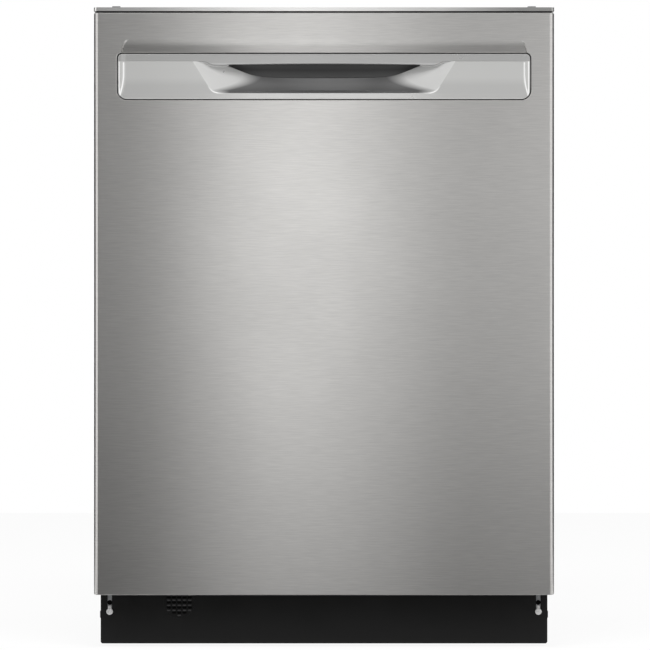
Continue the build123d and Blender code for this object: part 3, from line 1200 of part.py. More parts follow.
def latch_body():
    """Latch housing in the middle of the door's top edge, with its mouth to the tub and the pawl's pin."""
    half = LATCH_WIDTH / 2
    top = PANEL_TOP_Z - SHEET
    y = (LINER_BACK_Y - LATCH_DEPTH, LINER_BACK_Y)
    body = block((-half, half), y, (top - LATCH_HEIGHT, top))
    slot = LATCH_CAVITY_WIDTH / 2
    body -= block((-slot, slot), (y[0] + LATCH_WALL, y[1] + 1), (top - LATCH_HEIGHT + 5, top + 1))
    pivot_y, pivot_z = pawl_pivot()
    return body + rod((-slot - 1, pivot_y, pivot_z), (slot + 1, pivot_y, pivot_z), PAWL_PIVOT_RADIUS)


def pawl_pivot():
    """Where the latch pawl turns, as a depth and a height."""
    return LINER_BACK_Y - LATCH_DEPTH + LATCH_WALL + PAWL_HUB_RADIUS + 1.5, STRIKE_Z - 9.5


def latch_hook():
    """Latch pawl whose tip stands under the strike."""
    y, z = pawl_pivot()
    half = PAWL_WIDTH / 2
    tip = STRIKE_Z - STRIKE_THICKNESS / 2 - 0.6
    pawl = rod((-half, y, z), (half, y, z), PAWL_HUB_RADIUS)
    pawl += block((-half, half), (y, y + PAWL_REACH), (z - 3, z + 3))
    pawl += block((-half, half), (y + PAWL_REACH - 4, y + PAWL_REACH), (z, tip))
    return pawl - rod((-half - 1, y, z), (half + 1, y, z), PAWL_PIVOT_RADIUS + PIN_CLEARANCE)


def cup_span(grow):
    """The detergent cup's outline on the dispenser, grown outwards."""
    half_x = CUP_WIDTH / 2 + grow
    half_z = CUP_HEIGHT / 2 + grow
    x = DISPENSER_X + CUP_OFFSET
    return (x - half_x, x + half_x), (DISPENSER_Z - half_z, DISPENSER_Z + half_z)


def lid_hinge():
    """The dispenser lid's hinge line, as a place across and a depth."""
    x = cup_span(LID_OVERLAP)[0][0] - LID_BARREL_RADIUS
    return x, LINER_Y + DISPENSER_PROUD + GAP + LID_BARREL_RADIUS


def dispenser_body():
    """Detergent and rinse aid dispenser in the inner door, with the lid's lugs and pin."""
    face = LINER_Y + DISPENSER_PROUD
    x, z = dispenser_span(0)
    body = rounded(x, (LINER_Y, face), z, 14, Axis.Y)
    x, z = dispenser_span(DISPENSER_MARGIN)
    body += block(x, (LINER_Y - DISPENSER_DEPTH, LINER_Y), z)
    x, z = cup_span(0)
    body -= rounded(x, (face - CUP_DEPTH, face + 1), z, 8, Axis.Y)
    cap_x = DISPENSER_X + RINSE_CAP_OFFSET
    body -= rod((cap_x, face - 10, DISPENSER_Z), (cap_x, face + 1, DISPENSER_Z), RINSE_NECK_RADIUS + GAP)
    hinge_x, hinge_y = lid_hinge()
    low, high = cup_span(LID_OVERLAP)[1]
    lug_x = (hinge_x - LID_BARREL_RADIUS, hinge_x + LID_BARREL_RADIUS)
    for start, end in ((low - 6, low - 1), (high + 1, high + 6)):
        body += rod((hinge_x, hinge_y, start), (hinge_x, hinge_y, end), LID_BARREL_RADIUS)
        body += block(lug_x, (face, hinge_y), (start, end))
    return body + rod((hinge_x, hinge_y, low - 2), (hinge_x, hinge_y, high + 2), LID_PIN_RADIUS)


def dispenser_lid():
    """Flap over the detergent cup, with the barrel that it swings on."""
    hinge_x, hinge_y = lid_hinge()
    x, z = cup_span(LID_OVERLAP)
    near = hinge_y - LID_BARREL_RADIUS
    lid = block((hinge_x, x[1]), (near, near + LID_THICKNESS), z)
    lid = fillet(lid.edges().filter_by(Axis.Y).group_by(Axis.X)[-1], 6)
    grip_y = (near + LID_THICKNESS, near + LID_THICKNESS + LID_GRIP_HEIGHT)
    grip_z = (DISPENSER_Z - LID_GRIP_LENGTH / 2, DISPENSER_Z + LID_GRIP_LENGTH / 2)
    lid += block((x[1] - LID_GRIP_MARGIN, x[1] - LID_GRIP_MARGIN + LID_GRIP_WIDTH), grip_y, grip_z)
    hinge = (hinge_x, hinge_y)
    lid += rod((*hinge, z[0]), (*hinge, z[1]), LID_BARREL_RADIUS)
    return lid - rod((*hinge, z[0] - 1), (*hinge, z[1] + 1), LID_PIN_RADIUS + PIN_CLEARANCE)


def rinse_cap():
    """Quarter-turn cap of the rinse aid tank."""
    x = DISPENSER_X + RINSE_CAP_OFFSET
    face = LINER_Y + DISPENSER_PROUD + GAP
    cap = rod((x, face, DISPENSER_Z), (x, face + RINSE_CAP_THICKNESS, DISPENSER_Z), RINSE_CAP_RADIUS)
    cap += rod((x, face - 7, DISPENSER_Z), (x, face, DISPENSER_Z), RINSE_NECK_RADIUS)
    grip_y = (face + RINSE_CAP_THICKNESS, face + RINSE_CAP_THICKNESS + 4)
    return cap + block((x - 14, x + 14), grip_y, (DISPENSER_Z - 2, DISPENSER_Z + 2))


def door_vent():
    """Round steam vent in the inner door, with slats across its face."""
    face = LINER_Y + VENT_PROUD
    vent = rod((VENT_X, LINER_Y, VENT_Z), (VENT_X, face, VENT_Z), VENT_RADIUS)
    neck_y = FRONT_Y + SHEET + INSULATION_THICKNESS
    vent += rod((VENT_X, neck_y, VENT_Z), (VENT_X, LINER_Y, VENT_Z), VENT_NECK_RADIUS)
    for i in range(-2, 3):
        z = i * VENT_SLOT_PITCH
        half = math.sqrt((VENT_RADIUS - VENT_RIM) ** 2 - z ** 2)
        slot_z = (VENT_Z + z - VENT_SLOT_HEIGHT / 2, VENT_Z + z + VENT_SLOT_HEIGHT / 2)
        vent -= block((VENT_X - half, VENT_X + half), (face - VENT_SLOT_DEPTH, face + 1), slot_z)
    return vent


def door_bottom_seal():
    """Rubber strip along the bottom of the inner door."""
    half = DOOR_SEAL_WIDTH / 2
    middle = LEDGE_Z - 2 - DOOR_SEAL_HEIGHT / 2
    z = (middle - DOOR_SEAL_HEIGHT / 2, middle + DOOR_SEAL_HEIGHT / 2)
    return rounded((-half, half), (LINER_Y, LINER_Y + DOOR_SEAL_THICKNESS), z, 2, Axis.X)


def door_screws():
    """The screws that hold the inner door to the outer skin."""
    screws = []
    for z in door_screw_heights():
        for x in (-door_screw_x(), door_screw_x()):
            head = rod((x, LINER_Y, z), (x, LINER_Y + SCREW_HEAD_HEIGHT, z), SCREW_HEAD_RADIUS)
            head = fillet(head.edges().sort_by(Axis.Y)[-1], 1.2)
            screws.append(head + rod((x, PANEL_RETURN_Y - 2, z), (x, LINER_Y, z), SCREW_RADIUS))
    return screws


# Spray arms


def spray_blade(centre_y, low, length, hub_below):
    """A spray arm's blade with its jets, and the hub under or over it."""
    half = length / 2
    y = (centre_y - BLADE_WIDTH / 2, centre_y + BLADE_WIDTH / 2)
    blade = rounded((-half, half), y, (low, low + BLADE_HEIGHT), BLADE_WIDTH / 2 - 1, Axis.Z)
    blade = fillet(blade.edges().group_by(Axis.Z)[-1], 3)
    hub_low = low - ARM_HUB_HEIGHT if hub_below else low + BLADE_HEIGHT
    blade += rod((0, centre_y, hub_low), (0, centre_y, hub_low + ARM_HUB_HEIGHT), HUB_RADIUS)
    for x in spread(JET_START, half - JET_MARGIN, NOZZLE_COUNT):
        for sign in (-1, 1):
            place = (sign * x, centre_y + sign * JET_OFFSET)
            blade -= rod((*place, low + BLADE_HEIGHT - 2), (*place, low + BLADE_HEIGHT + 1), JET_RADIUS)
    return blade


def lower_spray_arm():
    """Spray arm over the sump, turning on the post's spigot."""
    low = POST_TOP_Z + GAP + ARM_HUB_HEIGHT
    arm = spray_blade(SUMP_Y, low, ARM_LENGTH_LOWER, True)
    bore_top = POST_TOP_Z + SPIGOT_HEIGHT + GAP
    bore = rod((0, SUMP_Y, POST_TOP_Z), (0, SUMP_Y, bore_top), SPIGOT_RADIUS + PIN_CLEARANCE)
    cap = rod((0, SUMP_Y, low), (0, SUMP_Y, bore_top + 3), HUB_CAP_RADIUS)
    return arm + cap - bore


def upper_spray_arm():
    """Spray arm hung under the upper rack on the manifold's spigot."""
    low = UPPER_ARM_TOP_Z - GAP - ARM_HUB_HEIGHT - BLADE_HEIGHT
    arm = spray_blade(MANIFOLD_Y, low, ARM_LENGTH_UPPER, False)
    bore = rod((0, MANIFOLD_Y, low + 2), (0, MANIFOLD_Y, UPPER_ARM_TOP_Z + 1), SPIGOT_RADIUS + PIN_CLEARANCE)
    return arm - bore


def upper_arm_manifold():
    """Tube under the upper rack that carries water from the back wall to the upper spray arm."""
    z = UPPER_MANIFOLD_Z
    body = rod((0, MANIFOLD_Y, z), (0, upper_port_y() - GAP, z), MANIFOLD_RADIUS)
    body += rod((0, MANIFOLD_Y, UPPER_ARM_TOP_Z), (0, MANIFOLD_Y, z + MANIFOLD_RADIUS), MANIFOLD_HUB_RADIUS)
    spigot_low = UPPER_ARM_TOP_Z - GAP - ARM_HUB_HEIGHT - BLADE_HEIGHT + 2 + GAP
    return body + rod((0, MANIFOLD_Y, spigot_low), (0, MANIFOLD_Y, UPPER_ARM_TOP_Z), SPIGOT_RADIUS)


# Racks


def rack_panels(half, front, length, floor, height):
    """A wire rack as its floor and four walls, welded edge to edge."""
    back = front + length
    rim = floor + height
    inset = WIRE + WELD_GAP
    cross = spread(front + 12, back - 12, CROSS_WIRES)
    along = spread(-half + 26, half - 26, LONG_WIRES)
    heights = spread(floor, rim, WALL_WIRES)
    ground = wire_panel(lambda y, x: (x, y, floor), along, cross, (front + inset, back - inset),
                        (-half + inset, half - inset))
    side_y = spread(front + THIN_WIRE, back - THIN_WIRE, CROSS_WIRES)
    side_span = (front - WIRE, back + WIRE)
    side = wire_panel(lambda y, z: (half, y, z), heights, side_y, side_span, (floor, rim), RIM_WIRE)
    clear = half - RIM_WIRE - WELD_GAP
    end_x = spread(-half + 26, half - 26, LONG_WIRES)
    ends = [wire_panel(lambda x, z: (x, y, z), heights, end_x, (-clear, clear), (floor, rim), RIM_WIRE)
            for y in (front, back)]
    return [ground, side, mirrored(side)] + ends


def comb(y, floor, left, right, height, count):
    """A row of upright tines on one wire."""
    z = floor + WIRE + THIN_WIRE + WELD_GAP
    tines = [rod((x, y, z), (x, y, z + height), TINE_WIRE) for x in spread(left + 6, right - 6, count)]
    return rod((left, y, z), (right, y, z), THIN_WIRE) + tines


def side_comb(x, floor, front, back, height, count):
    """A row of upright tines on one wire that runs from front to back."""
    z = floor + WIRE + THIN_WIRE + WELD_GAP
    tines = [rod((x, y, z), (x, y, z + height), TINE_WIRE) for y in spread(front + 6, back - 6, count)]
    return rod((x, front, z), (x, back, z), THIN_WIRE) + tines


def wheel_carrier(y):
    """Bracket and axle for one wheel, hung under the lower rack's floor on the right."""
    x = WHEEL_X + WHEEL_WIDTH / 2 + 2
    half = CARRIER_LENGTH / 2
    top = LOWER_FLOOR_Z - WIRE - WELD_GAP
    plate = block((x, x + CARRIER_THICKNESS), (y - half, y + half), (WHEEL_Z - 8, top))
    inner = WHEEL_X - WHEEL_WIDTH / 2 - GAP
    axle = rod((inner - 2.5, y, WHEEL_Z), (x, y, WHEEL_Z), AXLE_RADIUS)
    return plate + axle + rod((inner - 2.5, y, WHEEL_Z), (inner, y, WHEEL_Z), AXLE_RADIUS + 2)


def lower_rack():
    """Lower wire rack with its fixed rows of tines and the wheel carriers."""
    front, length = LOWER_RACK_FRONT_Y, LOWER_RACK_LENGTH
    pieces = rack_panels(LOWER_RACK_HALF, front, length, LOWER_FLOOR_Z, LOWER_RACK_HEIGHT)
    left = -LOWER_RACK_HALF + TINE_LEFT_MARGIN
    for y in TINE_ROWS_Y:
        pieces.append(comb(y, LOWER_FLOOR_Z, left, TINE_RIGHT_X, TINE_HEIGHT, TINE_COUNT))
    for y in (FRONT_WHEEL_Y, REAR_WHEEL_Y):
        carrier = wheel_carrier(y)
        pieces += [carrier, mirrored(carrier)]
    return pieces


def fold_down_tines():
    """The front row of tines, which folds flat towards the front."""
    left = -LOWER_RACK_HALF + TINE_LEFT_MARGIN
    return Pos(0, 0, GAP) * comb(FOLD_ROW_Y, LOWER_FLOOR_Z, left, TINE_RIGHT_X, TINE_HEIGHT, TINE_COUNT)


def wheels(y):
    """A pair of rack wheels on one line."""
    x = (WHEEL_X - WHEEL_WIDTH / 2, WHEEL_X + WHEEL_WIDTH / 2)
    tyre = rod((x[0], y, WHEEL_Z), (x[1], y, WHEEL_Z), WHEEL_RADIUS)
    tyre = fillet(tyre.edges().filter_by(GeomType.CIRCLE), 2)
    for face_x in x:
        ring = rod((face_x - 2, y, WHEEL_Z), (face_x + 2, y, WHEEL_Z), WHEEL_RADIUS - 5)
        tyre -= ring - rod((face_x - 3, y, WHEEL_Z), (face_x + 3, y, WHEEL_Z), AXLE_RADIUS + 3)
    tyre -= rod((x[0] - 1, y, WHEEL_Z), (x[1] + 1, y, WHEEL_Z), AXLE_RADIUS + PIN_CLEARANCE)
    return [tyre, mirrored(tyre)]


def silverware_basket():
    """Cutlery basket along the right side of the lower rack, in cells, with a carrying handle."""
    x = (BASKET_X - BASKET_WIDTH / 2, BASKET_X + BASKET_WIDTH / 2)
    y = (BASKET_FRONT_Y, BASKET_FRONT_Y + BASKET_LENGTH)
    z = (LOWER_FLOOR_Z + WIRE + GAP, LOWER_FLOOR_Z + WIRE + GAP + BASKET_HEIGHT)
    basket = rounded(x, y, z, 6, Axis.Z)
    pitch = (BASKET_LENGTH - BASKET_WALL) / BASKET_CELLS
    for i in range(BASKET_CELLS):
        start = y[0] + BASKET_WALL + i * pitch
        cell = (x[0] + BASKET_WALL, x[1] - BASKET_WALL), (start, start + pitch - BASKET_WALL)
        basket -= rounded(*cell, (z[0] + BASKET_WALL, z[1] + 1), 4, Axis.Z)
        for low in (z[0] + 18, z[0] + 48, z[0] + 78):
            middle = start + pitch / 2 - BASKET_WALL / 2
            basket -= block((x[0] - 1, x[1] + 1), (middle - 24, middle + 24), (low, low + 18))
    for end in (y[0], y[1] - 8):
        basket += block((BASKET_X - 6, BASKET_X + 6), (end, end + 8), (z[1] - 10, z[1] + BASKET_HANDLE_RISE))
    bar = block((BASKET_X - 6, BASKET_X + 6), y, (z[1] + BASKET_HANDLE_RISE - 8, z[1] + BASKET_HANDLE_RISE))
    return basket + bar


def upper_rack():
    """Upper wire rack with three rows of tines."""
    front, length = UPPER_RACK_FRONT_Y, UPPER_RACK_LENGTH
    pieces = rack_panels(UPPER_RACK_HALF, front, length, UPPER_FLOOR_Z, UPPER_RACK_HEIGHT)
    span = (front + UPPER_TINE_MARGIN, front + length - UPPER_TINE_MARGIN)
    for x in UPPER_TINE_ROWS_X:
        pieces.append(side_comb(x, UPPER_FLOOR_Z, *span, UPPER_TINE_HEIGHT, TINE_COUNT))
    return pieces


def cup_shelf():
    """Fold-up wire shelf on the left wall of the upper rack."""
    x = -UPPER_RACK_HALF + THIN_WIRE + GAP + THIN_WIRE
    middle = UPPER_RACK_FRONT_Y + UPPER_RACK_LENGTH / 2
    y = (middle - SHELF_LENGTH / 2, middle + SHELF_LENGTH / 2)
    wires = [rod((x, y[0], SHELF_Z), (x, y[1], SHELF_Z), THIN_WIRE)]
    wires += [rod((x + SHELF_WIDTH * part, y[0], SHELF_Z), (x + SHELF_WIDTH * part, y[1], SHELF_Z), THIN_WIRE)
              for part in (0.5, 1.0)]
    wires += [rod((x, at, SHELF_Z), (x + SHELF_WIDTH, at, SHELF_Z), TINE_WIRE)
              for at in spread(y[0] + 3, y[1] - 3, SHELF_WIRES)]
    return wires[0] + wires[1:]


def rail_section(back_x, depth, height, gauge, mouth_half):
    """A C-shaped runner drawn in x and z about its middle height, with its back at back_x."""
    outer = Pos(back_x - depth / 2, RAIL_Z) * Rectangle(depth, height)
    inner = Pos(back_x - depth / 2, RAIL_Z) * Rectangle(depth - 2 * gauge, height - 2 * gauge)
    mouth = Pos(back_x - depth + gauge / 2, RAIL_Z) * Rectangle(2 * gauge, 2 * mouth_half)
    return outer - inner - mouth


def rail_middle_depth():
    """Depth of the middle runner inside the outer one."""
    return RAIL_DEPTH - 2 * RAIL_GAUGE - 2 * GAP


def rack_slide_outers():
    """Outer runners on the tub's side walls."""
    section = rail_section(TUB_HALF, RAIL_DEPTH, RAIL_HEIGHT, RAIL_GAUGE, RAIL_HEIGHT / 2 - RAIL_LIP)
    rail = prism(section, RAIL_FRONT_Y, RAIL_FRONT_Y + RAIL_LENGTH)
    return [rail, mirrored(rail)]


def rack_slide_middles():
    """Middle runners, sliding inside the outer ones."""
    height = RAIL_HEIGHT - 2 * RAIL_GAUGE - 2 * GAP
    back = TUB_HALF - RAIL_GAUGE - GAP
    section = rail_section(back, rail_middle_depth(), height, RAIL_MIDDLE_GAUGE, RAIL_WEB_HEIGHT / 2 + GAP)
    rail = prism(section, RAIL_FRONT_Y, RAIL_FRONT_Y + RAIL_LENGTH)
    return [rail, mirrored(rail)]


def rack_slide_inners():
    """Inner runners, carried by the middle ones, with the plates that hold the upper rack."""
    back = TUB_HALF - RAIL_GAUGE - GAP - RAIL_MIDDLE_GAUGE - GAP
    front_face = TUB_HALF - RAIL_GAUGE - GAP - rail_middle_depth() + RAIL_MIDDLE_GAUGE + GAP
    height = RAIL_HEIGHT - 2 * RAIL_GAUGE - 4 * GAP - 2 * RAIL_MIDDLE_GAUGE
    y = (RAIL_FRONT_Y, RAIL_FRONT_Y + RAIL_LENGTH)
    bar = block((front_face, back), y, (RAIL_Z - height / 2, RAIL_Z + height / 2))
    web_x = (UPPER_RACK_HALF + RIM_WIRE + WELD_GAP + RAIL_PLATE_REACH, front_face)
    web = block(web_x, y, (RAIL_Z - RAIL_WEB_HEIGHT / 2, RAIL_Z + RAIL_WEB_HEIGHT / 2))
    rail = bar + web
    plate_x = (UPPER_RACK_HALF + WIRE + WELD_GAP, web_x[0])
    plate_z = (UPPER_FLOOR_Z + RAIL_PLATE_MARGIN, UPPER_FLOOR_Z + UPPER_RACK_HEIGHT - RAIL_PLATE_MARGIN)
    for at in (RAIL_FRONT_Y + RAIL_PLATE_SETBACK, y[1] - RAIL_PLATE_SETBACK - RAIL_PLATE_LENGTH):
        rail += block(plate_x, (at, at + RAIL_PLATE_LENGTH), plate_z)
    return [rail, mirrored(rail)]


def legs():
    """Each levelling leg by name."""
    places = {"front": LEG_FRONT_Y, "rear": LEG_REAR_Y}
    sides = {"left": -LEG_X, "right": LEG_X}
    return {f"leg_{end}_{side}": leg(x, y) for end, y in places.items() for side, x in sides.items()}


def nodes():
    """Every piece of the machine by name."""
    made = {
        "tub": tub(),
        "tub_blanket": tub_blanket(),
        "base_frame": base_frame(),
        "kick_plate": kick_plate(),
        "kick_plate_screws": kick_plate_screws(),
        "countertop_brackets": countertop_brackets(),
        "tub_gasket": tub_gasket(),
        "door_strike": door_strike(),
        "hinge_pins": hinge_pins(),
        "sump": sump(),
        "coarse_filter": coarse_filter(),
        "fine_filter": fine_filter(),
        "wash_pump_housing": wash_pump_housing(),
        "wash_pump_impeller": wash_pump_impeller(),
        "drain_pump": drain_pump(),
        "inlet_valve": inlet_valve(),
        "fill_hose": fill_hose(),
        "heating_element": heating_element(),
        "feed_tube": feed_tube(),
        "lower_spray_arm": lower_spray_arm(),
        "overfill_float": float_guard(),
        "junction_box": junction_box(),
        "wiring_harness": wiring_harness(),
        "rack_slide_outers": rack_slide_outers(),
        "rack_slide_middles": rack_slide_middles(),
        "door_springs": door_springs(),
        "door_cables": door_cables(),
        "door_outer_panel": door_outer_panel(),
        "door_liner": door_liner(),
        "door_insulation": door_insulation(),
        "handle_pocket": handle_pocket(),
        "control_console": control_console(),
        "display_window": display_window(),
        "control_board": control_board(),
        "power_button": button(BUTTON_X[0]),
        "cycle_button": button(BUTTON_X[1]),
        "start_button": button(BUTTON_X[2]),
        "latch_body": latch_body(),
        "latch_hook": latch_hook(),
        "dispenser_body": dispenser_body(),
        "dispenser_lid": dispenser_lid(),
        "rinse_cap": rinse_cap(),
        "door_vent": door_vent(),
        "door_bottom_seal": door_bottom_seal(),
        "hinge_arms": hinge_arms(),
        "door_screws": door_screws(),
        "upper_rack": upper_rack(),
        "rack_slide_inners": rack_slide_inners(),
        "upper_arm_manifold": upper_arm_manifold(),
        "upper_spray_arm": upper_spray_arm(),
        "cup_shelf": cup_shelf(),
        "lower_rack": lower_rack(),
        "lower_front_wheels": wheels(FRONT_WHEEL_Y),
        "lower_rear_wheels": wheels(REAR_WHEEL_Y),
        "silverware_basket": silverware_basket(),
        "fold_down_tines": fold_down_tines(),
    }
    return made | legs()


def main():
    """Write each piece to its own file."""
    os.makedirs("parts", exist_ok=True)
    for name, made in nodes().items():
        shapes = made if isinstance(made, list) else [made]
        solids = [solid for shape in shapes for solid in shape.solids()]
        export_step(Compound(children=solids), f"parts/{name}.step")


main()
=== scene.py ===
import json
import math

import bmesh
import bpy
from mathutils import Matrix, Vector


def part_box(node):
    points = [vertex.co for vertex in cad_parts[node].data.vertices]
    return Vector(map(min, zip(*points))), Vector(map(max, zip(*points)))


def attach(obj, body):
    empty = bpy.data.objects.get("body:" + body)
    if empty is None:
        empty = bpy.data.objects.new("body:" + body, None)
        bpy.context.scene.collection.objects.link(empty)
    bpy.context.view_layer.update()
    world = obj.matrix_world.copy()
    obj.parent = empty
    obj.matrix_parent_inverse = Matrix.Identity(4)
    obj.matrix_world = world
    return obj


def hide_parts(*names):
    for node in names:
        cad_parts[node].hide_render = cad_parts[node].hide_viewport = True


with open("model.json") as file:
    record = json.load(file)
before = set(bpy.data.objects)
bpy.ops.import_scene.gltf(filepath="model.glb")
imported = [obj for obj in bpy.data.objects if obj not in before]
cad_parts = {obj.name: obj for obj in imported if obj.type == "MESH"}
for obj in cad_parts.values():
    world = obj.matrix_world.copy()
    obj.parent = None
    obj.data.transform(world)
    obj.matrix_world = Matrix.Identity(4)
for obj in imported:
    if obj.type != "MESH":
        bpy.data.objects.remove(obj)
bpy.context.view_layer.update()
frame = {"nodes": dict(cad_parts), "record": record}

NODES = frame["nodes"]

# ---------------------------------------------------------------- materials
# How deep a bump reaches, in metres
STREAK_RELIEF, GRAIN_RELIEF, FELT_RELIEF = 0.0004, 0.0003, 0.0015
# How far a surface's roughness varies either way
BRUSHED_SPREAD, MOULDED_SPREAD, SATIN_SPREAD = 0.015, 0.05, 0.03
# Half the width over which one colour gives way to the next at a line, in metres
LINE_BLUR = 0.0003


def principled(name, colour, roughness, metallic=0.0, **sockets):
    """A new material with its shader's own sockets set."""
    material = bpy.data.materials.new(name)
    material.use_nodes = True
    tree = material.node_tree
    shader = tree.nodes["Principled BSDF"]
    shader.inputs["Base Color"].default_value = (*colour, 1.0)
    shader.inputs["Roughness"].default_value = roughness
    shader.inputs["Metallic"].default_value = metallic
    for socket, value in sockets.items():
        shader.inputs[socket.replace("_", " ")].default_value = value
    return material, tree, shader


def object_place(tree):
    """The object's own coordinates, in metres."""
    return tree.nodes.new("ShaderNodeTexCoord").outputs["Object"]


def object_axes(tree):
    """The object's own coordinates as separate X, Y and Z outputs."""
    split = tree.nodes.new("ShaderNodeSeparateXYZ")
    tree.links.new(object_place(tree), split.inputs["Vector"])
    return split.outputs


def noise(tree, scale, detail=3.0, roughness=0.55, stretch=(1, 1, 1), distortion=0.0):
    """Noise over the object's own coordinates, stretched per axis."""
    mapping = tree.nodes.new("ShaderNodeMapping")
    mapping.inputs["Scale"].default_value = stretch
    texture = tree.nodes.new("ShaderNodeTexNoise")
    texture.inputs["Scale"].default_value = scale
    texture.inputs["Detail"].default_value = detail
    texture.inputs["Roughness"].default_value = roughness
    texture.inputs["Distortion"].default_value = distortion
    tree.links.new(object_place(tree), mapping.inputs["Vector"])
    tree.links.new(mapping.outputs["Vector"], texture.inputs["Vector"])
    return texture.outputs["Fac"]


def ranged(tree, value, low, high, start=0.3, end=0.7):
    """A value spread from low to high."""
    node = tree.nodes.new("ShaderNodeMapRange")
    node.inputs["From Min"].default_value = start
    node.inputs["From Max"].default_value = end
    node.inputs["To Min"].default_value = low
    node.inputs["To Max"].default_value = high
    tree.links.new(value, node.inputs["Value"])
    return node.outputs["Result"]


def varied(tree, value, middle, spread):
    """A value spread evenly about a middle."""
    return ranged(tree, value, middle - spread, middle + spread)


def fed(tree, socket, value):
    """Feeds a socket from another node's output, or sets a plain number or colour on it."""
    if isinstance(value, bpy.types.NodeSocket):
        tree.links.new(value, socket)
    else:
        socket.default_value = (*value, 1.0) if isinstance(value, tuple) else value


def mixed(tree, factor, first, second, blend="MIX"):
    """Two colours mixed by a factor."""
    node = tree.nodes.new("ShaderNodeMix")
    node.data_type, node.blend_type = "RGBA", blend
    for name, value in (("Factor", factor), ("A", first), ("B", second)):
        fed(tree, node.inputs[name], value)
    return node.outputs["Result"]


def combined(tree, operation, *values):
    """One step of arithmetic on outputs and plain numbers."""
    node = tree.nodes.new("ShaderNodeMath")
    node.operation = operation
    for socket, value in zip(node.inputs, values):
        fed(tree, socket, value)
    return node.outputs["Value"]


def bumped(tree, shader, height, strength, distance):
    """Bump from a height."""
    node = tree.nodes.new("ShaderNodeBump")
    node.inputs["Strength"].default_value = strength
    node.inputs["Distance"].default_value = distance
    tree.links.new(height, node.inputs["Height"])
    tree.links.new(node.outputs["Normal"], shader.inputs["Normal"])


def surfaced(tree, shader, colours, rough):
    """Links a shader's colour and roughness."""
    tree.links.new(colours, shader.inputs["Base Color"])
    tree.links.new(rough, shader.inputs["Roughness"])


def shaded(colour, share):
    """A colour made darker or lighter by a share."""
    return tuple(min(1.0, c * share) for c in colour)


def brushed(name, colour, roughness, anisotropy, stretch, axis, contrast=0.05, bump=0.02):
    """Brushed metal: fine streaks along one direction and highlights drawn out across it."""
    material, tree, shader = principled(name, colour, roughness, 1.0, Anisotropic=anisotropy)
    streaks = noise(tree, 1.0, detail=2.0, roughness=0.6, stretch=stretch)
    broad = noise(tree, 9.0, detail=2.0, roughness=0.5)
    colours = mixed(tree, ranged(tree, streaks, 0.0, 1.0, 0.25, 0.75), shaded(colour, 1 - contrast),
                    shaded(colour, 1 + contrast))
    surfaced(tree, shader, colours, varied(tree, broad, roughness, BRUSHED_SPREAD))
    tangent = tree.nodes.new("ShaderNodeTangent")
    tangent.direction_type = "RADIAL"
    tangent.axis = axis
    tree.links.new(tangent.outputs["Tangent"], shader.inputs["Tangent"])
    if bump:
        bumped(tree, shader, streaks, bump, STREAK_RELIEF)
    return material


def moulded(name, colour, roughness, grain=900.0, bump=0.12, spread=0.06, **sockets):
    """Moulded plastic or rubber with a fine grain and slight colour variation."""
    material, tree, shader = principled(name, colour, roughness, **sockets)
    fine = noise(tree, grain, detail=2.0)
    broad = noise(tree, 24.0)
    colours = mixed(tree, ranged(tree, broad, 0.0, 1.0), shaded(colour, 1 - spread),
                    shaded(colour, 1 + spread))
    surfaced(tree, shader, colours, varied(tree, broad, roughness, MOULDED_SPREAD))
    bumped(tree, shader, fine, bump, GRAIN_RELIEF)
    return material


ZINC_CELLS, ZINC_SHADES, ZINC_ROUGHNESS = 85.0, (0.84, 1.1), (0.3, 0.46)


def galvanised(name, colour):
    """Zinc coated sheet with its pale crystal spangle."""
    material, tree, shader = principled(name, colour, sum(ZINC_ROUGHNESS) / 2, 1.0)
    cells = tree.nodes.new("ShaderNodeTexVoronoi")
    cells.inputs["Scale"].default_value = ZINC_CELLS
    tree.links.new(object_place(tree), cells.inputs["Vector"])
    split = tree.nodes.new("ShaderNodeSeparateColor")
    tree.links.new(cells.outputs["Color"], split.inputs["Color"])
    colours = mixed(tree, split.outputs["Red"], *(shaded(colour, share) for share in ZINC_SHADES))
    surfaced(tree, shader, colours, ranged(tree, split.outputs["Green"], *ZINC_ROUGHNESS, start=0.0, end=1.0))
    return material


FELT_PATCHES = ((0.75, 0.75, 0.75), (1.2, 1.2, 1.2))


def felted(name, colour, fibre):
    """Matted fibre blanket with light and dark fibres."""
    material, tree, shader = principled(name, colour, 0.95, Sheen_Weight=0.35, Sheen_Roughness=0.6)
    fibres = noise(tree, 420.0, detail=6.0, roughness=0.75, distortion=1.5)
    patches = mixed(tree, noise(tree, 30.0), *FELT_PATCHES)
    height = noise(tree, 160.0, detail=5.0, roughness=0.7)
    matted = mixed(tree, ranged(tree, fibres, 0.0, 1.0, 0.38, 0.66), shaded(colour, 0.6), fibre)
    tree.links.new(mixed(tree, 0.5, matted, patches, "MULTIPLY"), shader.inputs["Base Color"])
    bumped(tree, shader, height, 0.7, FELT_RELIEF)
    return material


MASK_GREEN, TRACK_GREEN, TRACKS_PER_METRE = (0.02, 0.16, 0.07), (0.05, 0.3, 0.14), 120.0
MASK_SHADES = {"Color1": (0.02, 0.2, 0.09), "Color2": (0.015, 0.13, 0.06), "Mortar": TRACK_GREEN}


def circuit_board():
    """Green solder mask with paler tracks."""
    material, tree, shader = principled("board_green", MASK_GREEN, 0.35)
    bricks = tree.nodes.new("ShaderNodeTexBrick")
    for socket, colour in MASK_SHADES.items():
        fed(tree, bricks.inputs[socket], colour)
    bricks.inputs["Scale"].default_value = TRACKS_PER_METRE
    bricks.inputs["Mortar Size"].default_value = 0.012
    tree.links.new(object_place(tree), bricks.inputs["Vector"])
    tree.links.new(bricks.outputs["Color"], shader.inputs["Base Color"])
    bumped(tree, shader, noise(tree, 500.0), 0.1, GRAIN_RELIEF)
    return material


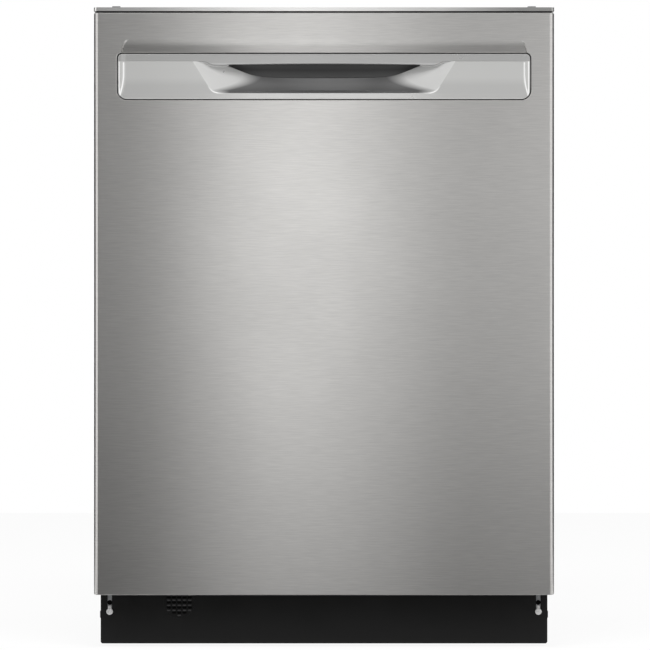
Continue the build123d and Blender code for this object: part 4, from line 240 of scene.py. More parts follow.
def smoked_window():
    """Dark display window with a faint tint change."""
    glass, tint = (0.012, 0.012, 0.016), ((0.010, 0.010, 0.014), (0.02, 0.02, 0.026))
    material, tree, shader = principled("smoked_window", glass, 0.06, Coat_Weight=0.6)
    tree.links.new(mixed(tree, noise(tree, 40.0), *tint), shader.inputs["Base Color"])
    return material


def heat_tinted():
    """Sheathed heater: dark nickel alloy with straw and blue heat colours."""
    nickel, blue, straw = (0.23, 0.21, 0.2), (0.16, 0.17, 0.2), (0.32, 0.26, 0.2)
    material, tree, shader = principled("heater_sheath", nickel, 0.42, 0.9)
    colours = mixed(tree, ranged(tree, noise(tree, 14.0, roughness=0.6), 0.0, 1.0), blue, straw)
    surfaced(tree, shader, colours, ranged(tree, noise(tree, 120.0), 0.34, 0.52))
    bumped(tree, shader, noise(tree, 700.0), 0.15, GRAIN_RELIEF)
    return material


def graded(name, low_colour, high_colour, heights, roughness, metallic):
    """A satin moulding whose colour changes between two heights, with a faint variation."""
    material, tree, shader = principled(name, high_colour, roughness, metallic)
    height = object_axes(tree)["Z"]
    colours = mixed(tree, ranged(tree, height, 0.0, 1.0, *heights), low_colour, high_colour)
    surfaced(tree, shader, colours, varied(tree, noise(tree, 16.0, detail=2.0), roughness, SATIN_SPREAD))
    return material


# The console: its lip's lower edge, under which it is painted near black as painted shade, the depths round
# its front face, and where painted shade darkens it to the right
CONSOLE_STEEL, UNDER_LIP_PAINTED_SHADE = (0.92, 0.915, 0.9), (0.04, 0.04, 0.04)
CONSOLE_LIP_Z, CONSOLE_FRONT_Y = 0.84, (-0.3105, -0.3095)
CONSOLE_PAINTED_SHADE, CONSOLE_SHADE_X = (0.5, 0.5, 0.5), (0.16, 0.255)


def console_steel():
    """The console's polished cap, painted darker towards its right end as painted shade, with painted shade
    under its lip.
    """
    material = brushed("console_steel", CONSOLE_STEEL, 0.3, 0.85, (38, 900, 900), "X", 0.04, 0.0)
    tree = material.node_tree
    base = tree.nodes["Principled BSDF"].inputs["Base Color"]
    streaks = base.links[0].from_socket
    axes = object_axes(tree)
    above = ranged(tree, axes["Z"], 0.0, 1.0, CONSOLE_LIP_Z - LINE_BLUR, CONSOLE_LIP_Z)
    front = ranged(tree, axes["Y"], 1.0, 0.0, *CONSOLE_FRONT_Y)
    across = ranged(tree, axes["X"], 0.0, 1.0, *CONSOLE_SHADE_X)
    # Painted shade: near black under the lip, and darker towards the right end of the front face
    cap = mixed(tree, above, UNDER_LIP_PAINTED_SHADE, streaks)
    right_painted_shade = combined(tree, "MULTIPLY", front, across)
    tree.links.new(mixed(tree, right_painted_shade, cap, CONSOLE_PAINTED_SHADE, "MULTIPLY"), base)
    return material


# The handle's colours, and where they change: half widths and heights in metres. A pair of numbers is
# where a change starts and ends.
# The tray is painted darker towards its foot as painted shade
TRAY_SILVER, TRAY_LOW_PAINTED_SHADE, TRAY_PAINTED_SHADE_Z = (0.54, 0.54, 0.53), (0.475, 0.475, 0.467), (0.742, 0.752)
# The bowl is painted paler as painted light, the edge colour is a painted highlight, and the rim colour is
# painted light
BOWL_PAINTED_LIGHT, PAINTED_HIGHLIGHT_SILVER, RIM_PAINTED_LIGHT = (0.72, 0.72, 0.71), (0.95, 0.95, 0.94), (0.575, 0.575, 0.565)
# The lip is painted darker than the tray as painted shade, with a painted highlight along its lower edge
LIP_EDGE_PAINTED_HIGHLIGHT, LIP_PAINTED_SHADE, LIP_HIGHLIGHT_Z = (0.475, 0.475, 0.47), (0.39, 0.39, 0.385), (0.7713, 0.7719)
# The hollow is painted dark as painted shade, less dark at its foot
HOLLOW_LOW_PAINTED_SHADE, HOLLOW_PAINTED_SHADE, HOLLOW_SHADE_Z = (0.26, 0.26, 0.26), (0.07, 0.07, 0.07), (0.7545, 0.764)
HANDLE_ROUGHNESS, HANDLE_METALLIC = 0.3, 0.4
# The bowl's outline: half width at its floor, the floor's height, widening per height, corner's blend
BOWL_FLOOR_HALF, BOWL_FLOOR_Z, BOWL_WIDENS, BOWL_CORNER = 0.1468, 0.7318, 0.627, 0.012
# The painted shade over the bowl's deep back: its greys, their heights, its half width at a low and a high
# place, its blur
BOWL_PAINTED_SHADE, BOWL_PAINTED_SHADE_Z = ((0.105, 0.105, 0.105), (0.19, 0.19, 0.19)), (0.7335, 0.7450)
SHADE_LOW_Z, SHADE_HIGH_Z, SHADE_HIGH_HALF, SHADE_LOW_HALF = 0.7359, 0.7556, 0.0948, 0.1369
SHADE_BLUR = 0.013
# The painted highlights: on the end walls, which lean in towards their foot, on the rim, and round the bowl's
# lower corners
WALL_HIGHLIGHT, WALL_LEAN_Z, WALL_LEAN, WALL_TOP_Z = (0.2629, 0.2649), (0.7263, 0.7583), 0.006, (0.7720, 0.7728)
RIM_HIGHLIGHT, RIM_FOOT_Z = (0.2684, 0.2700), (0.7252, 0.7258)
CORNER_HIGHLIGHT, CORNER_X, CORNER_Z = (-0.0008, 0.0006), (0.13, 0.15), (0.735, 0.742)
# The strip below the bowl, painted lighter as painted light, as is the rim's foot
STRIP_X, STRIP_BLUR = (0.1, 0.16), 0.0006


def handle_finish():
    """Satin silver with painted highlights on its edges, painted light on its bowl's ends and lower strip,
    and painted shade on its tray's foot and over its bowl's deep back.
    """
    material, tree, shader = principled("handle_satin", TRAY_SILVER, HANDLE_ROUGHNESS, HANDLE_METALLIC,
                                        Coat_Weight=0.4, Coat_Roughness=0.12)
    axes = object_axes(tree)
    aside, height = combined(tree, "ABSOLUTE", axes["X"]), axes["Z"]

    def rising(value, low, high):
        return ranged(tree, value, 0.0, 1.0, low, high)

    def falling(value, low, high):
        return ranged(tree, value, 1.0, 0.0, low, high)

    def times(first, second):
        return combined(tree, "MULTIPLY", first, second)

    def between(value, low, high):
        return times(rising(value, low - LINE_BLUR, low + LINE_BLUR),
                     falling(value, high - LINE_BLUR, high + LINE_BLUR))

    slanted = combined(tree, "MULTIPLY_ADD", height, BOWL_WIDENS,
                       BOWL_FLOOR_HALF - BOWL_WIDENS * BOWL_FLOOR_Z)
    past_slant = times(combined(tree, "SUBTRACT", slanted, aside), 1 / math.hypot(1, BOWL_WIDENS))
    above_floor = combined(tree, "SUBTRACT", height, BOWL_FLOOR_Z)
    inside = combined(tree, "SMOOTH_MIN", past_slant, above_floor, BOWL_CORNER)
    bowl = rising(inside, -LINE_BLUR, LINE_BLUR)
    # Painted shade: the tray darker towards its foot
    tray = mixed(tree, rising(height, *TRAY_PAINTED_SHADE_Z), TRAY_LOW_PAINTED_SHADE, TRAY_SILVER)
    # Painted light: the bowl paler than the tray
    colours = mixed(tree, bowl, tray, BOWL_PAINTED_LIGHT)

    # Painted shade over the bowl's deep back, under the lip
    sunk = ranged(tree, height, 0.0, 1.0, SHADE_HIGH_Z, SHADE_LOW_Z)
    shade_half = combined(tree, "MULTIPLY_ADD", times(sunk, sunk), SHADE_LOW_HALF - SHADE_HIGH_HALF,
                          SHADE_HIGH_HALF)
    shade = rising(combined(tree, "SUBTRACT", shade_half, aside), -SHADE_BLUR, SHADE_BLUR)
    deep = mixed(tree, rising(height, *BOWL_PAINTED_SHADE_Z), *BOWL_PAINTED_SHADE)
    colours = mixed(tree, times(shade, bowl), colours, deep)

    # Painted highlights along the end walls, the rim's bevel and the bowl's lower corners
    lean = falling(height, *WALL_LEAN_Z)
    wall = combined(tree, "SUBTRACT", aside, times(times(lean, lean), WALL_LEAN))
    edges = times(between(wall, *WALL_HIGHLIGHT), falling(height, *WALL_TOP_Z))
    edges = combined(tree, "MAXIMUM", edges, between(aside, *RIM_HIGHLIGHT))
    corner = times(times(between(inside, *CORNER_HIGHLIGHT), rising(aside, *CORNER_X)), falling(height, *CORNER_Z))
    edges = combined(tree, "MAXIMUM", edges, corner)
    # Painted light: the strip below the bowl and the rim's foot painted lighter
    strip = times(falling(aside, *STRIP_X), falling(height, BOWL_FLOOR_Z - STRIP_BLUR, BOWL_FLOOR_Z))
    strip = combined(tree, "MAXIMUM", strip, falling(height, *RIM_FOOT_Z))
    colours = mixed(tree, edges, mixed(tree, strip, colours, RIM_PAINTED_LIGHT), PAINTED_HIGHLIGHT_SILVER)
    surfaced(tree, shader, colours, varied(tree, noise(tree, 24.0), HANDLE_ROUGHNESS, SATIN_SPREAD))
    return material


# Brushed metal: colour, roughness, anisotropy, stretch of the streaks, axis, contrast, bump. Moulded parts:
# colour, roughness, grain per metre, bump, spread of the colour.
LOOKS = {
    "outer_steel": brushed("door_steel", (0.71, 0.70, 0.683), 0.33, 0.9, (38, 38, 900), "X", 0.07, 0.0),
    "outer_steel_console": console_steel(),
    "tub_steel": brushed("tub_steel", (0.6, 0.6, 0.595), 0.32, 0.5, (20, 20, 500), "Z", 0.05, 0.015),
    "bright_metal": brushed("plated_steel", (0.66, 0.66, 0.67), 0.24, 0.2, (300, 300, 300), "Z", 0.08, 0.02),
    "handle_silver": handle_finish(),
    "black_paint": moulded("toe_plate_paint", (0.007, 0.007, 0.007), 0.5, 700.0, 0.1, 0.15,
                           Specular_IOR_Level=0.25),
    "rack_coating": moulded("rack_nylon", (0.3, 0.315, 0.33), 0.3, 260.0, 0.12, 0.08, Coat_Weight=0.25),
    "black_plastic": moulded("black_plastic", (0.022, 0.022, 0.023), 0.5),
    "grey_plastic": moulded("grey_plastic", (0.4, 0.41, 0.42), 0.4),
    "light_plastic": moulded("light_plastic", (0.62, 0.63, 0.64), 0.38),
    "dark_grey_plastic": moulded("dark_grey_plastic", (0.1, 0.1, 0.105), 0.42),
    "blue_grey_plastic": moulded("blue_grey_plastic", (0.26, 0.32, 0.38), 0.4),
    "display": smoked_window(),
    "board": circuit_board(),
    "seal_rubber": moulded("seal_rubber", (0.05, 0.05, 0.052), 0.62, 500.0, 0.15, 0.12),
    "hose_rubber": moulded("hose_rubber", (0.13, 0.13, 0.14), 0.55, 320.0, 0.25, 0.12),
    "blanket": felted("blanket_felt", (0.13, 0.13, 0.14), (0.3, 0.3, 0.31)),
    "pad": felted("damping_felt", (0.2, 0.19, 0.18), (0.4, 0.38, 0.35)),
    "pump_metal": moulded("cast_alloy", (0.42, 0.42, 0.43), 0.45, 400.0, 0.3, 0.08, Metallic=1.0),
    "galvanised": galvanised("galvanised_sheet", (0.55, 0.56, 0.57)),
    # Near black: painted shade behind the vent's slots and in the brackets' upper holes
    "dark_painted_shade": moulded("black_painted_shade", (0.004, 0.004, 0.004), 0.9, 700.0, 0.1, 0.15, Specular_IOR_Level=0.1),
    # The vent's hoods, painted lighter than the toe plate's black as a painted highlight
    "hood": moulded("vent_hood_painted_highlight", (0.055, 0.055, 0.056), 0.45, 700.0, 0.05, 0.1),
    # The lip: painted shade, with a painted highlight along its lower edge
    "handle_lip": graded("handle_lip_painted_shade", LIP_EDGE_PAINTED_HIGHLIGHT, LIP_PAINTED_SHADE, LIP_HIGHLIGHT_Z, HANDLE_ROUGHNESS,
                         HANDLE_METALLIC),
    # Zinc plating painted near white: the plating is real, its brightness is partly painted light against the
    # shade under the door
    "zinc": moulded("zinc_plated_painted_light", (0.93, 0.93, 0.92), 0.3, 500.0, 0.04, 0.05, Metallic=0.1),
    # The hollow: painted shade, less dark at its foot
    "hollow": graded("handle_hollow_painted_shade", HOLLOW_LOW_PAINTED_SHADE, HOLLOW_PAINTED_SHADE, HOLLOW_SHADE_Z, 0.5, 0.0),
}
SLOT_OF = {part["node"]: part["material_slot"] for part in frame["record"]["subparts"]}
# The countertop brackets take a darker copy of the galvanised sheet, as painted shade
OWN_LOOKS = {"heating_element": heat_tinted(), "kick_plate_screws": LOOKS["zinc"],
             "countertop_brackets": galvanised("bracket_sheet_painted_shade", (0.42, 0.425, 0.43))}
for node, slot in SLOT_OF.items():
    look = OWN_LOOKS.get(node, LOOKS[slot])
    for place in NODES[node].material_slots:
        place.material = look

# ------------------------------------------------------------------- pieces


def placed(name, data):
    """A new object in the scene."""
    piece = bpy.data.objects.new(name, data)
    bpy.context.scene.collection.objects.link(piece)
    return piece


def add_mesh(name, vertices, faces, look):
    """A smooth-shaded mesh object from points and faces."""
    mesh = bpy.data.meshes.new(name)
    mesh.from_pydata(vertices, [], faces)
    mesh.validate()
    mesh.update()
    piece = placed(name, mesh)
    mesh.materials.append(look)
    mesh.polygons.foreach_set("use_smooth", [True] * len(mesh.polygons))
    return piece


def tube_along(points, radius, sides=8):
    """Rings of a round tube that follows points, with closed ends."""
    vertices, faces = [], []
    side = Vector((1, 0, 0))
    count = len(points)
    for i, point in enumerate(points):
        ahead = (points[min(i + 1, count - 1)] - points[max(i - 1, 0)]).normalized()
        if abs(ahead.dot(side)) > 0.95:
            side = Vector((0, 0, 1))
        side = (side - ahead * side.dot(ahead)).normalized()
        up = ahead.cross(side)
        for k in range(sides):
            angle = 2 * math.pi * k / sides
            vertices.append(point + (side * math.cos(angle) + up * math.sin(angle)) * radius)
    for i in range(count - 1):
        for k in range(sides):
            a, b = i * sides + k, i * sides + (k + 1) % sides
            faces.append((a, b, b + sides, a + sides))
    faces.append(tuple(reversed(range(sides))))
    faces.append(tuple(range((count - 1) * sides, count * sides)))
    return vertices, faces


# Balance springs, as real coils with a hook at each end
SPRING_WIRE = 0.0009
SPRING_TURNS = 62
SPRING_HOOK = 0.014
COIL_STEPS, HOOK_STEPS = 20, 8


def spring(name, x, low, high):
    """A close-wound extension spring along Y, with its end hooks."""
    z = (low.z + high.z) / 2
    radius = (high.z - low.z) / 2 - SPRING_WIRE
    start, end = low.y + SPRING_HOOK, high.y - SPRING_HOOK
    points = []
    for i in range(HOOK_STEPS + 1):
        angle = math.pi * i / HOOK_STEPS
        points.append(Vector((x, low.y + SPRING_WIRE + radius * (1 - math.sin(angle)),
                              z + radius * math.cos(angle))))
    steps = SPRING_TURNS * COIL_STEPS
    for i in range(steps + 1):
        angle = 2 * math.pi * i / COIL_STEPS
        points.append(Vector((x + radius * math.sin(angle), start + (end - start) * i / steps,
                              z - radius * math.cos(angle))))
    for i in range(1, HOOK_STEPS + 1):
        angle = math.pi * i / HOOK_STEPS
        points.append(Vector((x, high.y - SPRING_WIRE - radius * (1 - math.sin(angle)),
                              z - radius * math.cos(angle))))
    return add_mesh(name, *tube_along(points, SPRING_WIRE), LOOKS["bright_metal"])


low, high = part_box("door_springs")
half = (high.z - low.z) / 2
for side, x in (("left", low.x + half), ("right", high.x - half)):
    coil = spring(f"balance_spring_{side}", x, low, high)
    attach(coil, "cabinet")
    if side == "left":
        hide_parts("door_springs")

# ---------------------------------------------------- door skin and handle
# Lengths in this section are in millimetres, and are scaled as a mesh is made.
FRONT_Y = -311.0
SKIN_HALF = 303.2
SKIN_LOW, SKIN_HIGH = 71.1, 837.6
SIDE_ROUND, EDGE_ROUND, CORNER_ROUND = 6.5, 1.1, 0.6
CORNER_SQUARE = 0.6
FOLD_Y, SIDE_FOLD_Y = -291.0, -273.0
ROUND_STEPS, SHEET, SHARP_ANGLE, NORMAL_WEIGHT = 10, 1.0, 30, 80
INSERT_HALF = 271.55
INSERT_LOW, INSERT_HIGH = 723.9, 783.5
CORNER_LOW, CORNER_HIGH = 12.0, 6.0
CORNER_SHARES = (0, 0.005, 0.05, 0.11, 0.22, 0.35, 0.5, 0.65, 0.78, 0.89, 0.95, 0.995, 1)
# The handle's hole: its margin round the insert, and the margins and depths of its rolled edge
HOLE_GROW = 1.4
HOLE_ROLL = [(HOLE_GROW, 1.0), (HOLE_GROW, 0.5), (1.5, 0.2), (1.75, 0.04), (2.1, 0.0)]
RING_START, RING_STEP, RING_COUNT = 2.8, 0.95, 20
# The slope over the handle: heights of its straight and its turning part, its fall at the middle and
# the ends, the half widths between which the fall changes, those between which its outline rounds off, and
# the width of the step along that outline
PRESS_FLAT, PRESS_TURN = 8.0, 11.5
PRESS_SLOPE = (0.27, 0.42)
PRESS_SPREAD = (60.0, 230.0)
PRESS_END, PRESS_WALL = (252.0, 266.3), 0.4


def smooth(value, low, high):
    """Eased step from 0 at low to 1 at high."""
    t = min(1.0, max(0.0, (value - low) / (high - low)))
    return t * t * (3 - 2 * t)


def add_mm(name, vertices, faces, look):
    """A mesh object from points in millimetres."""
    return add_mesh(name, [(x / 1000, y / 1000, z / 1000) for x, y, z in vertices], faces, look)


def run_shares(fine=14, fine_step=0.0018, count=80):
    """Places along a straight run, from 0 to 1, closer together at its ends."""
    start = [fine_step * i for i in range(1, fine + 1)]
    middle = [start[-1] + (1 - 2 * start[-1]) * i / count for i in range(1, count)]
    return start + middle + [1 - share for share in reversed(start)]


def outline(grow, up=8):
    """The handle's outline grown by a margin, as a loop of (x, z) with the same count for every margin."""
    half, low, high = INSERT_HALF + grow, INSERT_LOW - grow, INSERT_HIGH + grow
    top, bottom = CORNER_HIGH + grow, CORNER_LOW + grow
    loop = []
    corners = [(half - top, high - top, top, 90), (-half + top, high - top, top, 180),
               (-half + bottom, low + bottom, bottom, 270), (half - bottom, low + bottom, bottom, 360)]
    for index, (x, z, radius, end) in enumerate(corners):
        for share in CORNER_SHARES:
            angle = math.radians(end - 90 + 90 * share)
            loop.append((x + radius * math.cos(angle), z + radius * math.sin(angle)))
        far_x, far_z, far_radius, far_end = corners[(index + 1) % 4]
        angle = math.radians(far_end - 90)
        start = loop[-1]
        stop = (far_x + far_radius * math.cos(angle), far_z + far_radius * math.sin(angle))
        shares = run_shares() if index % 2 == 0 else [i / up for i in range(1, up)]
        run_x, run_z = stop[0] - start[0], stop[1] - start[1]
        loop += [(start[0] + run_x * share, start[1] + run_z * share) for share in shares]
    return loop


def pressed(x, z):
    """How far the skin slopes in over the handle: a straight slope that turns smoothly out to the skin, with
    its outline rounded off at both ends."""
    rise = max(z - INSERT_HIGH - HOLE_GROW, 0.0)
    along = max(0.0, (abs(x) - PRESS_END[0]) / (PRESS_END[1] - PRESS_END[0]))
    top = (PRESS_FLAT + PRESS_TURN) * math.sqrt(max(0.0, 1 - along ** 2))
    if z < INSERT_HIGH or rise >= top:
        return 0.0
    slope = PRESS_SLOPE[0] + (PRESS_SLOPE[1] - PRESS_SLOPE[0]) * smooth(abs(x), *PRESS_SPREAD)
    slope *= smooth(top - rise, 0.0, PRESS_WALL)
    if rise < PRESS_FLAT:
        return slope * (PRESS_FLAT - rise + PRESS_TURN / 2)
    return slope * (PRESS_FLAT + PRESS_TURN - rise) ** 2 / (2 * PRESS_TURN)


def skin_loop(side, edge, side_y, edge_y, steps=5):
    """A loop round the skin, whose sides and whose top and bottom move out and back by their own amounts."""
    x = SKIN_HALF - SIDE_ROUND - CORNER_ROUND
    low, high = SKIN_LOW + EDGE_ROUND + CORNER_ROUND, SKIN_HIGH - EDGE_ROUND - CORNER_ROUND
    loop = []
    for index, (corner_x, corner_z) in enumerate(((x, high), (-x, high), (-x, low), (x, low))):
        for i in range(steps + 1):
            angle = math.pi / 2 * (index + i / steps)
            turn_x, turn_z = math.cos(angle), math.sin(angle)
            square_x = math.copysign(abs(turn_x) ** CORNER_SQUARE, turn_x)
            square_z = math.copysign(abs(turn_z) ** CORNER_SQUARE, turn_z)
            loop.append((corner_x + (CORNER_ROUND + side) * square_x,
                         side_y * turn_x ** 2 + edge_y * turn_z ** 2,
                         corner_z + (CORNER_ROUND + edge) * square_z))
    return loop


def door_skin():
    """The brushed outer skin with rounded edges, folded returns and a pressed slope over the handle."""
    mesh = bmesh.new()

    def ring_of(points):
        return [mesh.verts.new(point) for point in points]

    def bridge(inner, outer):
        count = len(inner)
        for i in range(count):
            mesh.faces.new((inner[(i + 1) % count], inner[i], outer[i], outer[(i + 1) % count]))

    margins = HOLE_ROLL + [(RING_START + RING_STEP * i, 0.0) for i in range(RING_COUNT)]
    rings = [ring_of((x, FRONT_Y + turned + pressed(x, z), z) for x, z in outline(grow))
             for grow, turned in margins]
    for inner, outer in zip(rings, rings[1:]):
        bridge(inner, outer)
    border = ring_of(skin_loop(0.0, 0.0, FRONT_Y, FRONT_Y))
    hole, count = rings[-1], len(rings[-1])
    edges = [mesh.edges.new((border[i], border[(i + 1) % len(border)])) for i in range(len(border))]
    edges += [mesh.edges.get((hole[i], hole[(i + 1) % count])) for i in range(count)]
    bmesh.ops.triangle_fill(mesh, use_beauty=True, use_dissolve=False, edges=edges)
    for i in range(1, ROUND_STEPS + 1):
        angle = math.pi / 2 * i / ROUND_STEPS
        turn, sink = math.sin(angle), 1 - math.cos(angle)
        following = ring_of(skin_loop(SIDE_ROUND * turn, EDGE_ROUND * turn, FRONT_Y + SIDE_ROUND * sink,
                                      FRONT_Y + EDGE_ROUND * sink))
        bridge(border, following)
        border = following
    folded = ring_of(skin_loop(SIDE_ROUND, EDGE_ROUND, FOLD_Y, FOLD_Y))
    bridge(border, folded)
    corner = len(folded) // 4
    for first, second in ((len(folded) - 1, 0), (2 * corner - 1, 2 * corner)):
        row = [folded[first], folded[second]]
        outer = [mesh.verts.new((v.co.x, SIDE_FOLD_Y, v.co.z)) for v in row]
        mesh.faces.new((row[0], row[1], outer[1], outer[0]))
    bmesh.ops.recalc_face_normals(mesh, faces=mesh.faces)
    data = bpy.data.meshes.new("door_skin")
    mesh.to_mesh(data)
    mesh.free()
    data.transform(Matrix.Scale(0.001, 4))
    piece = placed("door_skin", data)
    data.materials.append(LOOKS["outer_steel"])
    data.polygons.foreach_set("use_smooth", [True] * len(data.polygons))
    data.set_sharp_from_angle(angle=math.radians(SHARP_ANGLE))
    shell = piece.modifiers.new("sheet", "SOLIDIFY")
    shell.thickness = SHEET / 1000
    shell.offset = -1
    weigh = piece.modifiers.new("normals", "WEIGHTED_NORMAL")
    weigh.weight = NORMAL_WEIGHT
    weigh.keep_sharp = True
    return piece


skin = door_skin()
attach(skin, "door")
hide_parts("door_outer_panel")

# The handle insert: a sloped tray under a lip, with a bowl for the fingers and a hollow behind the lip,
# painted
# dark as painted shade. Its tray: depths at its foot and top, the end walls' half widths, and how they lean
# in at the foot.
TRAY_SLOPE = (1.0, 1.7)
TRAY_WALL = (262.9, 265.2)
WALL_TURN = (726.3, 32.0, 6.0)
INSERT_ROUND, INSERT_BACK = 1.3, 8.0
ROUND_RINGS = (0.0, 0.1, 0.3, 0.6, 1.0, INSERT_ROUND)
# Its bowl: half width, height and widening of the slanted edge, and the depths, falls and blends inside
BOWL_LOW, BOWL_EDGE = 731.7, (173.2, 773.8, 0.627)
BOWL_DEPTH, BOWL_PITCH, BOWL_RISE = 25.5, 0.28, 5.0
BACK_BLEND, RISE_BLEND, EDGE_BLEND = 14.0, 6.0, 9.0
SIDE_FALL, FOOT_FALL = 2.2, 5.0
# Its lip: depth of its face, rise of the step over it, its rolled edge as heights and depths, its back,
# its least sheet, the most that its back takes of the bowl's depth, and where its flat face starts
LIP_FACE, STEP_RISE, LIP_BACK = 2.9, 0.7, 7.5
LIP_ROLL = [(0.0, 1.3), (0.15, 0.65), (0.5, 0.2), (1.0, 0.02)]
LIP_SHEET, LIP_SHARE, LIP_START = 1.5, 0.8, 1.6
# The hollow: its ceiling, its back behind the bowl, a small step between rows, how far its ceiling stays
# off its back and the lip, the lowest share of the lip's back that is straight, its half width, and the
# half widths between which it closes
HOLLOW_TOP, HOLLOW_BACK, SEAM = 778.3, 2.0, 0.05
CEILING_INSETS, STRAIGHT_SHARE = (0.2, 0.1), 0.4
HOLLOW_HALF, HOLLOW_SHUT = 126, (119, 129)
# The lip's lower edge and the bowl's upper edge, as half widths and heights
LIP_EDGE = [(0, 770.4), (60, 770.1), (110, 769.5), (124.6, 769.3), (127.4, 768.3), (132, 768.0), (142, 768.1),
            (148.5, 769.0), (153, 770.9), (157.5, 772.7), (162, 773.1), (275, 773.1)]
BOWL_TOP = [(0, 753.5), (40, 753.6), (66, 754.0), (82, 754.9), (93, 756.4), (104.4, 759.9), (116.5, 764.6),
            (126, 768.2), (138, 770.0), (150, 771.5), (162, 773.1), (275, 773.1)]
# Columns: places round the outline's corner in degrees, then the spacing down to each half width
COLUMN_ANGLES = (90, 84, 76, 68, 60, 50, 40, 30, 18, 8, 0)
COLUMN_STEPS, MIDDLE_STEP = [(258, 1.2), (178, 3.0), (90, 0.9)], 2.0
BOWL_ROWS, FACE_ROWS = 50, 5


def curve_at(points, u):
    """A smooth curve through the points, level at each end."""
    for i in range(len(points) - 1):
        if u <= points[i + 1][0]:
            break
    before, first, second = points[max(i - 1, 0)], points[i], points[i + 1]
    after = points[min(i + 2, len(points) - 1)]
    width = second[0] - first[0]
    start = (second[1] - before[1]) / (second[0] - before[0]) if i else 0.0
    end = (after[1] - first[1]) / (after[0] - first[0]) if after != second else 0.0
    t = (u - first[0]) / width
    return ((2 * t ** 3 - 3 * t * t + 1) * first[1] + (t ** 3 - 2 * t * t + t) * start * width
            + (3 * t * t - 2 * t ** 3) * second[1] + (t ** 3 - t * t) * end * width)


def soft_min(a, b, blend):
    """The smaller of two values, rounded where they are close."""
    h = max(blend - abs(a - b), 0.0) / blend
    return min(a, b) - h * h * blend / 4


def within_wall(u, shift=0.0):
    """1 inside the insert's end walls, 0 on its outer rim."""
    return 1 - smooth(u, TRAY_WALL[0] + shift, TRAY_WALL[1] + shift)


def bowl_depth(u, z):
    """Depth of the tray and its bowl behind the insert's face."""
    lowest, highest = TRAY_SLOPE
    tray = lowest + (highest - lowest) * (z - INSERT_LOW) / (BOWL_EDGE[1] - INSERT_LOW)
    tray *= within_wall(u, WALL_TURN[2] * max(0.0, 1 - (z - WALL_TURN[0]) / WALL_TURN[1]) ** 2)
    edge = BOWL_EDGE[0] - (BOWL_EDGE[1] - z) * BOWL_EDGE[2]
    aside = (edge - u) / math.hypot(1, BOWL_EDGE[2])
    above = z - BOWL_LOW
    if soft_min(aside, above, EDGE_BLEND) <= 0:
        return tray
    rise = min(max(above, 0.0) / BOWL_RISE, 1)
    bowl = soft_min(soft_min(BOWL_PITCH * max(aside, 0.0), BOWL_DEPTH, BACK_BLEND),
                    BOWL_DEPTH * rise * (2 - rise), RISE_BLEND)
    return tray + max(0.0, min(bowl, soft_min(aside * SIDE_FALL, above * FOOT_FALL, EDGE_BLEND)))


def insert_columns():
    """Places across the insert, closer together at its ends and round the bowl's edges."""
    places = [INSERT_HALF - CORNER_LOW * (1 - math.sin(math.radians(angle))) for angle in COLUMN_ANGLES]
    u = places[-1]
    for reach, step in COLUMN_STEPS:
        while u > reach:
            u -= step
            places.append(u)
    count = int(u / MIDDLE_STEP)
    places += [u * (1 - i / count) for i in range(1, count + 1)]
    return [-place for place in places] + places[-2::-1]


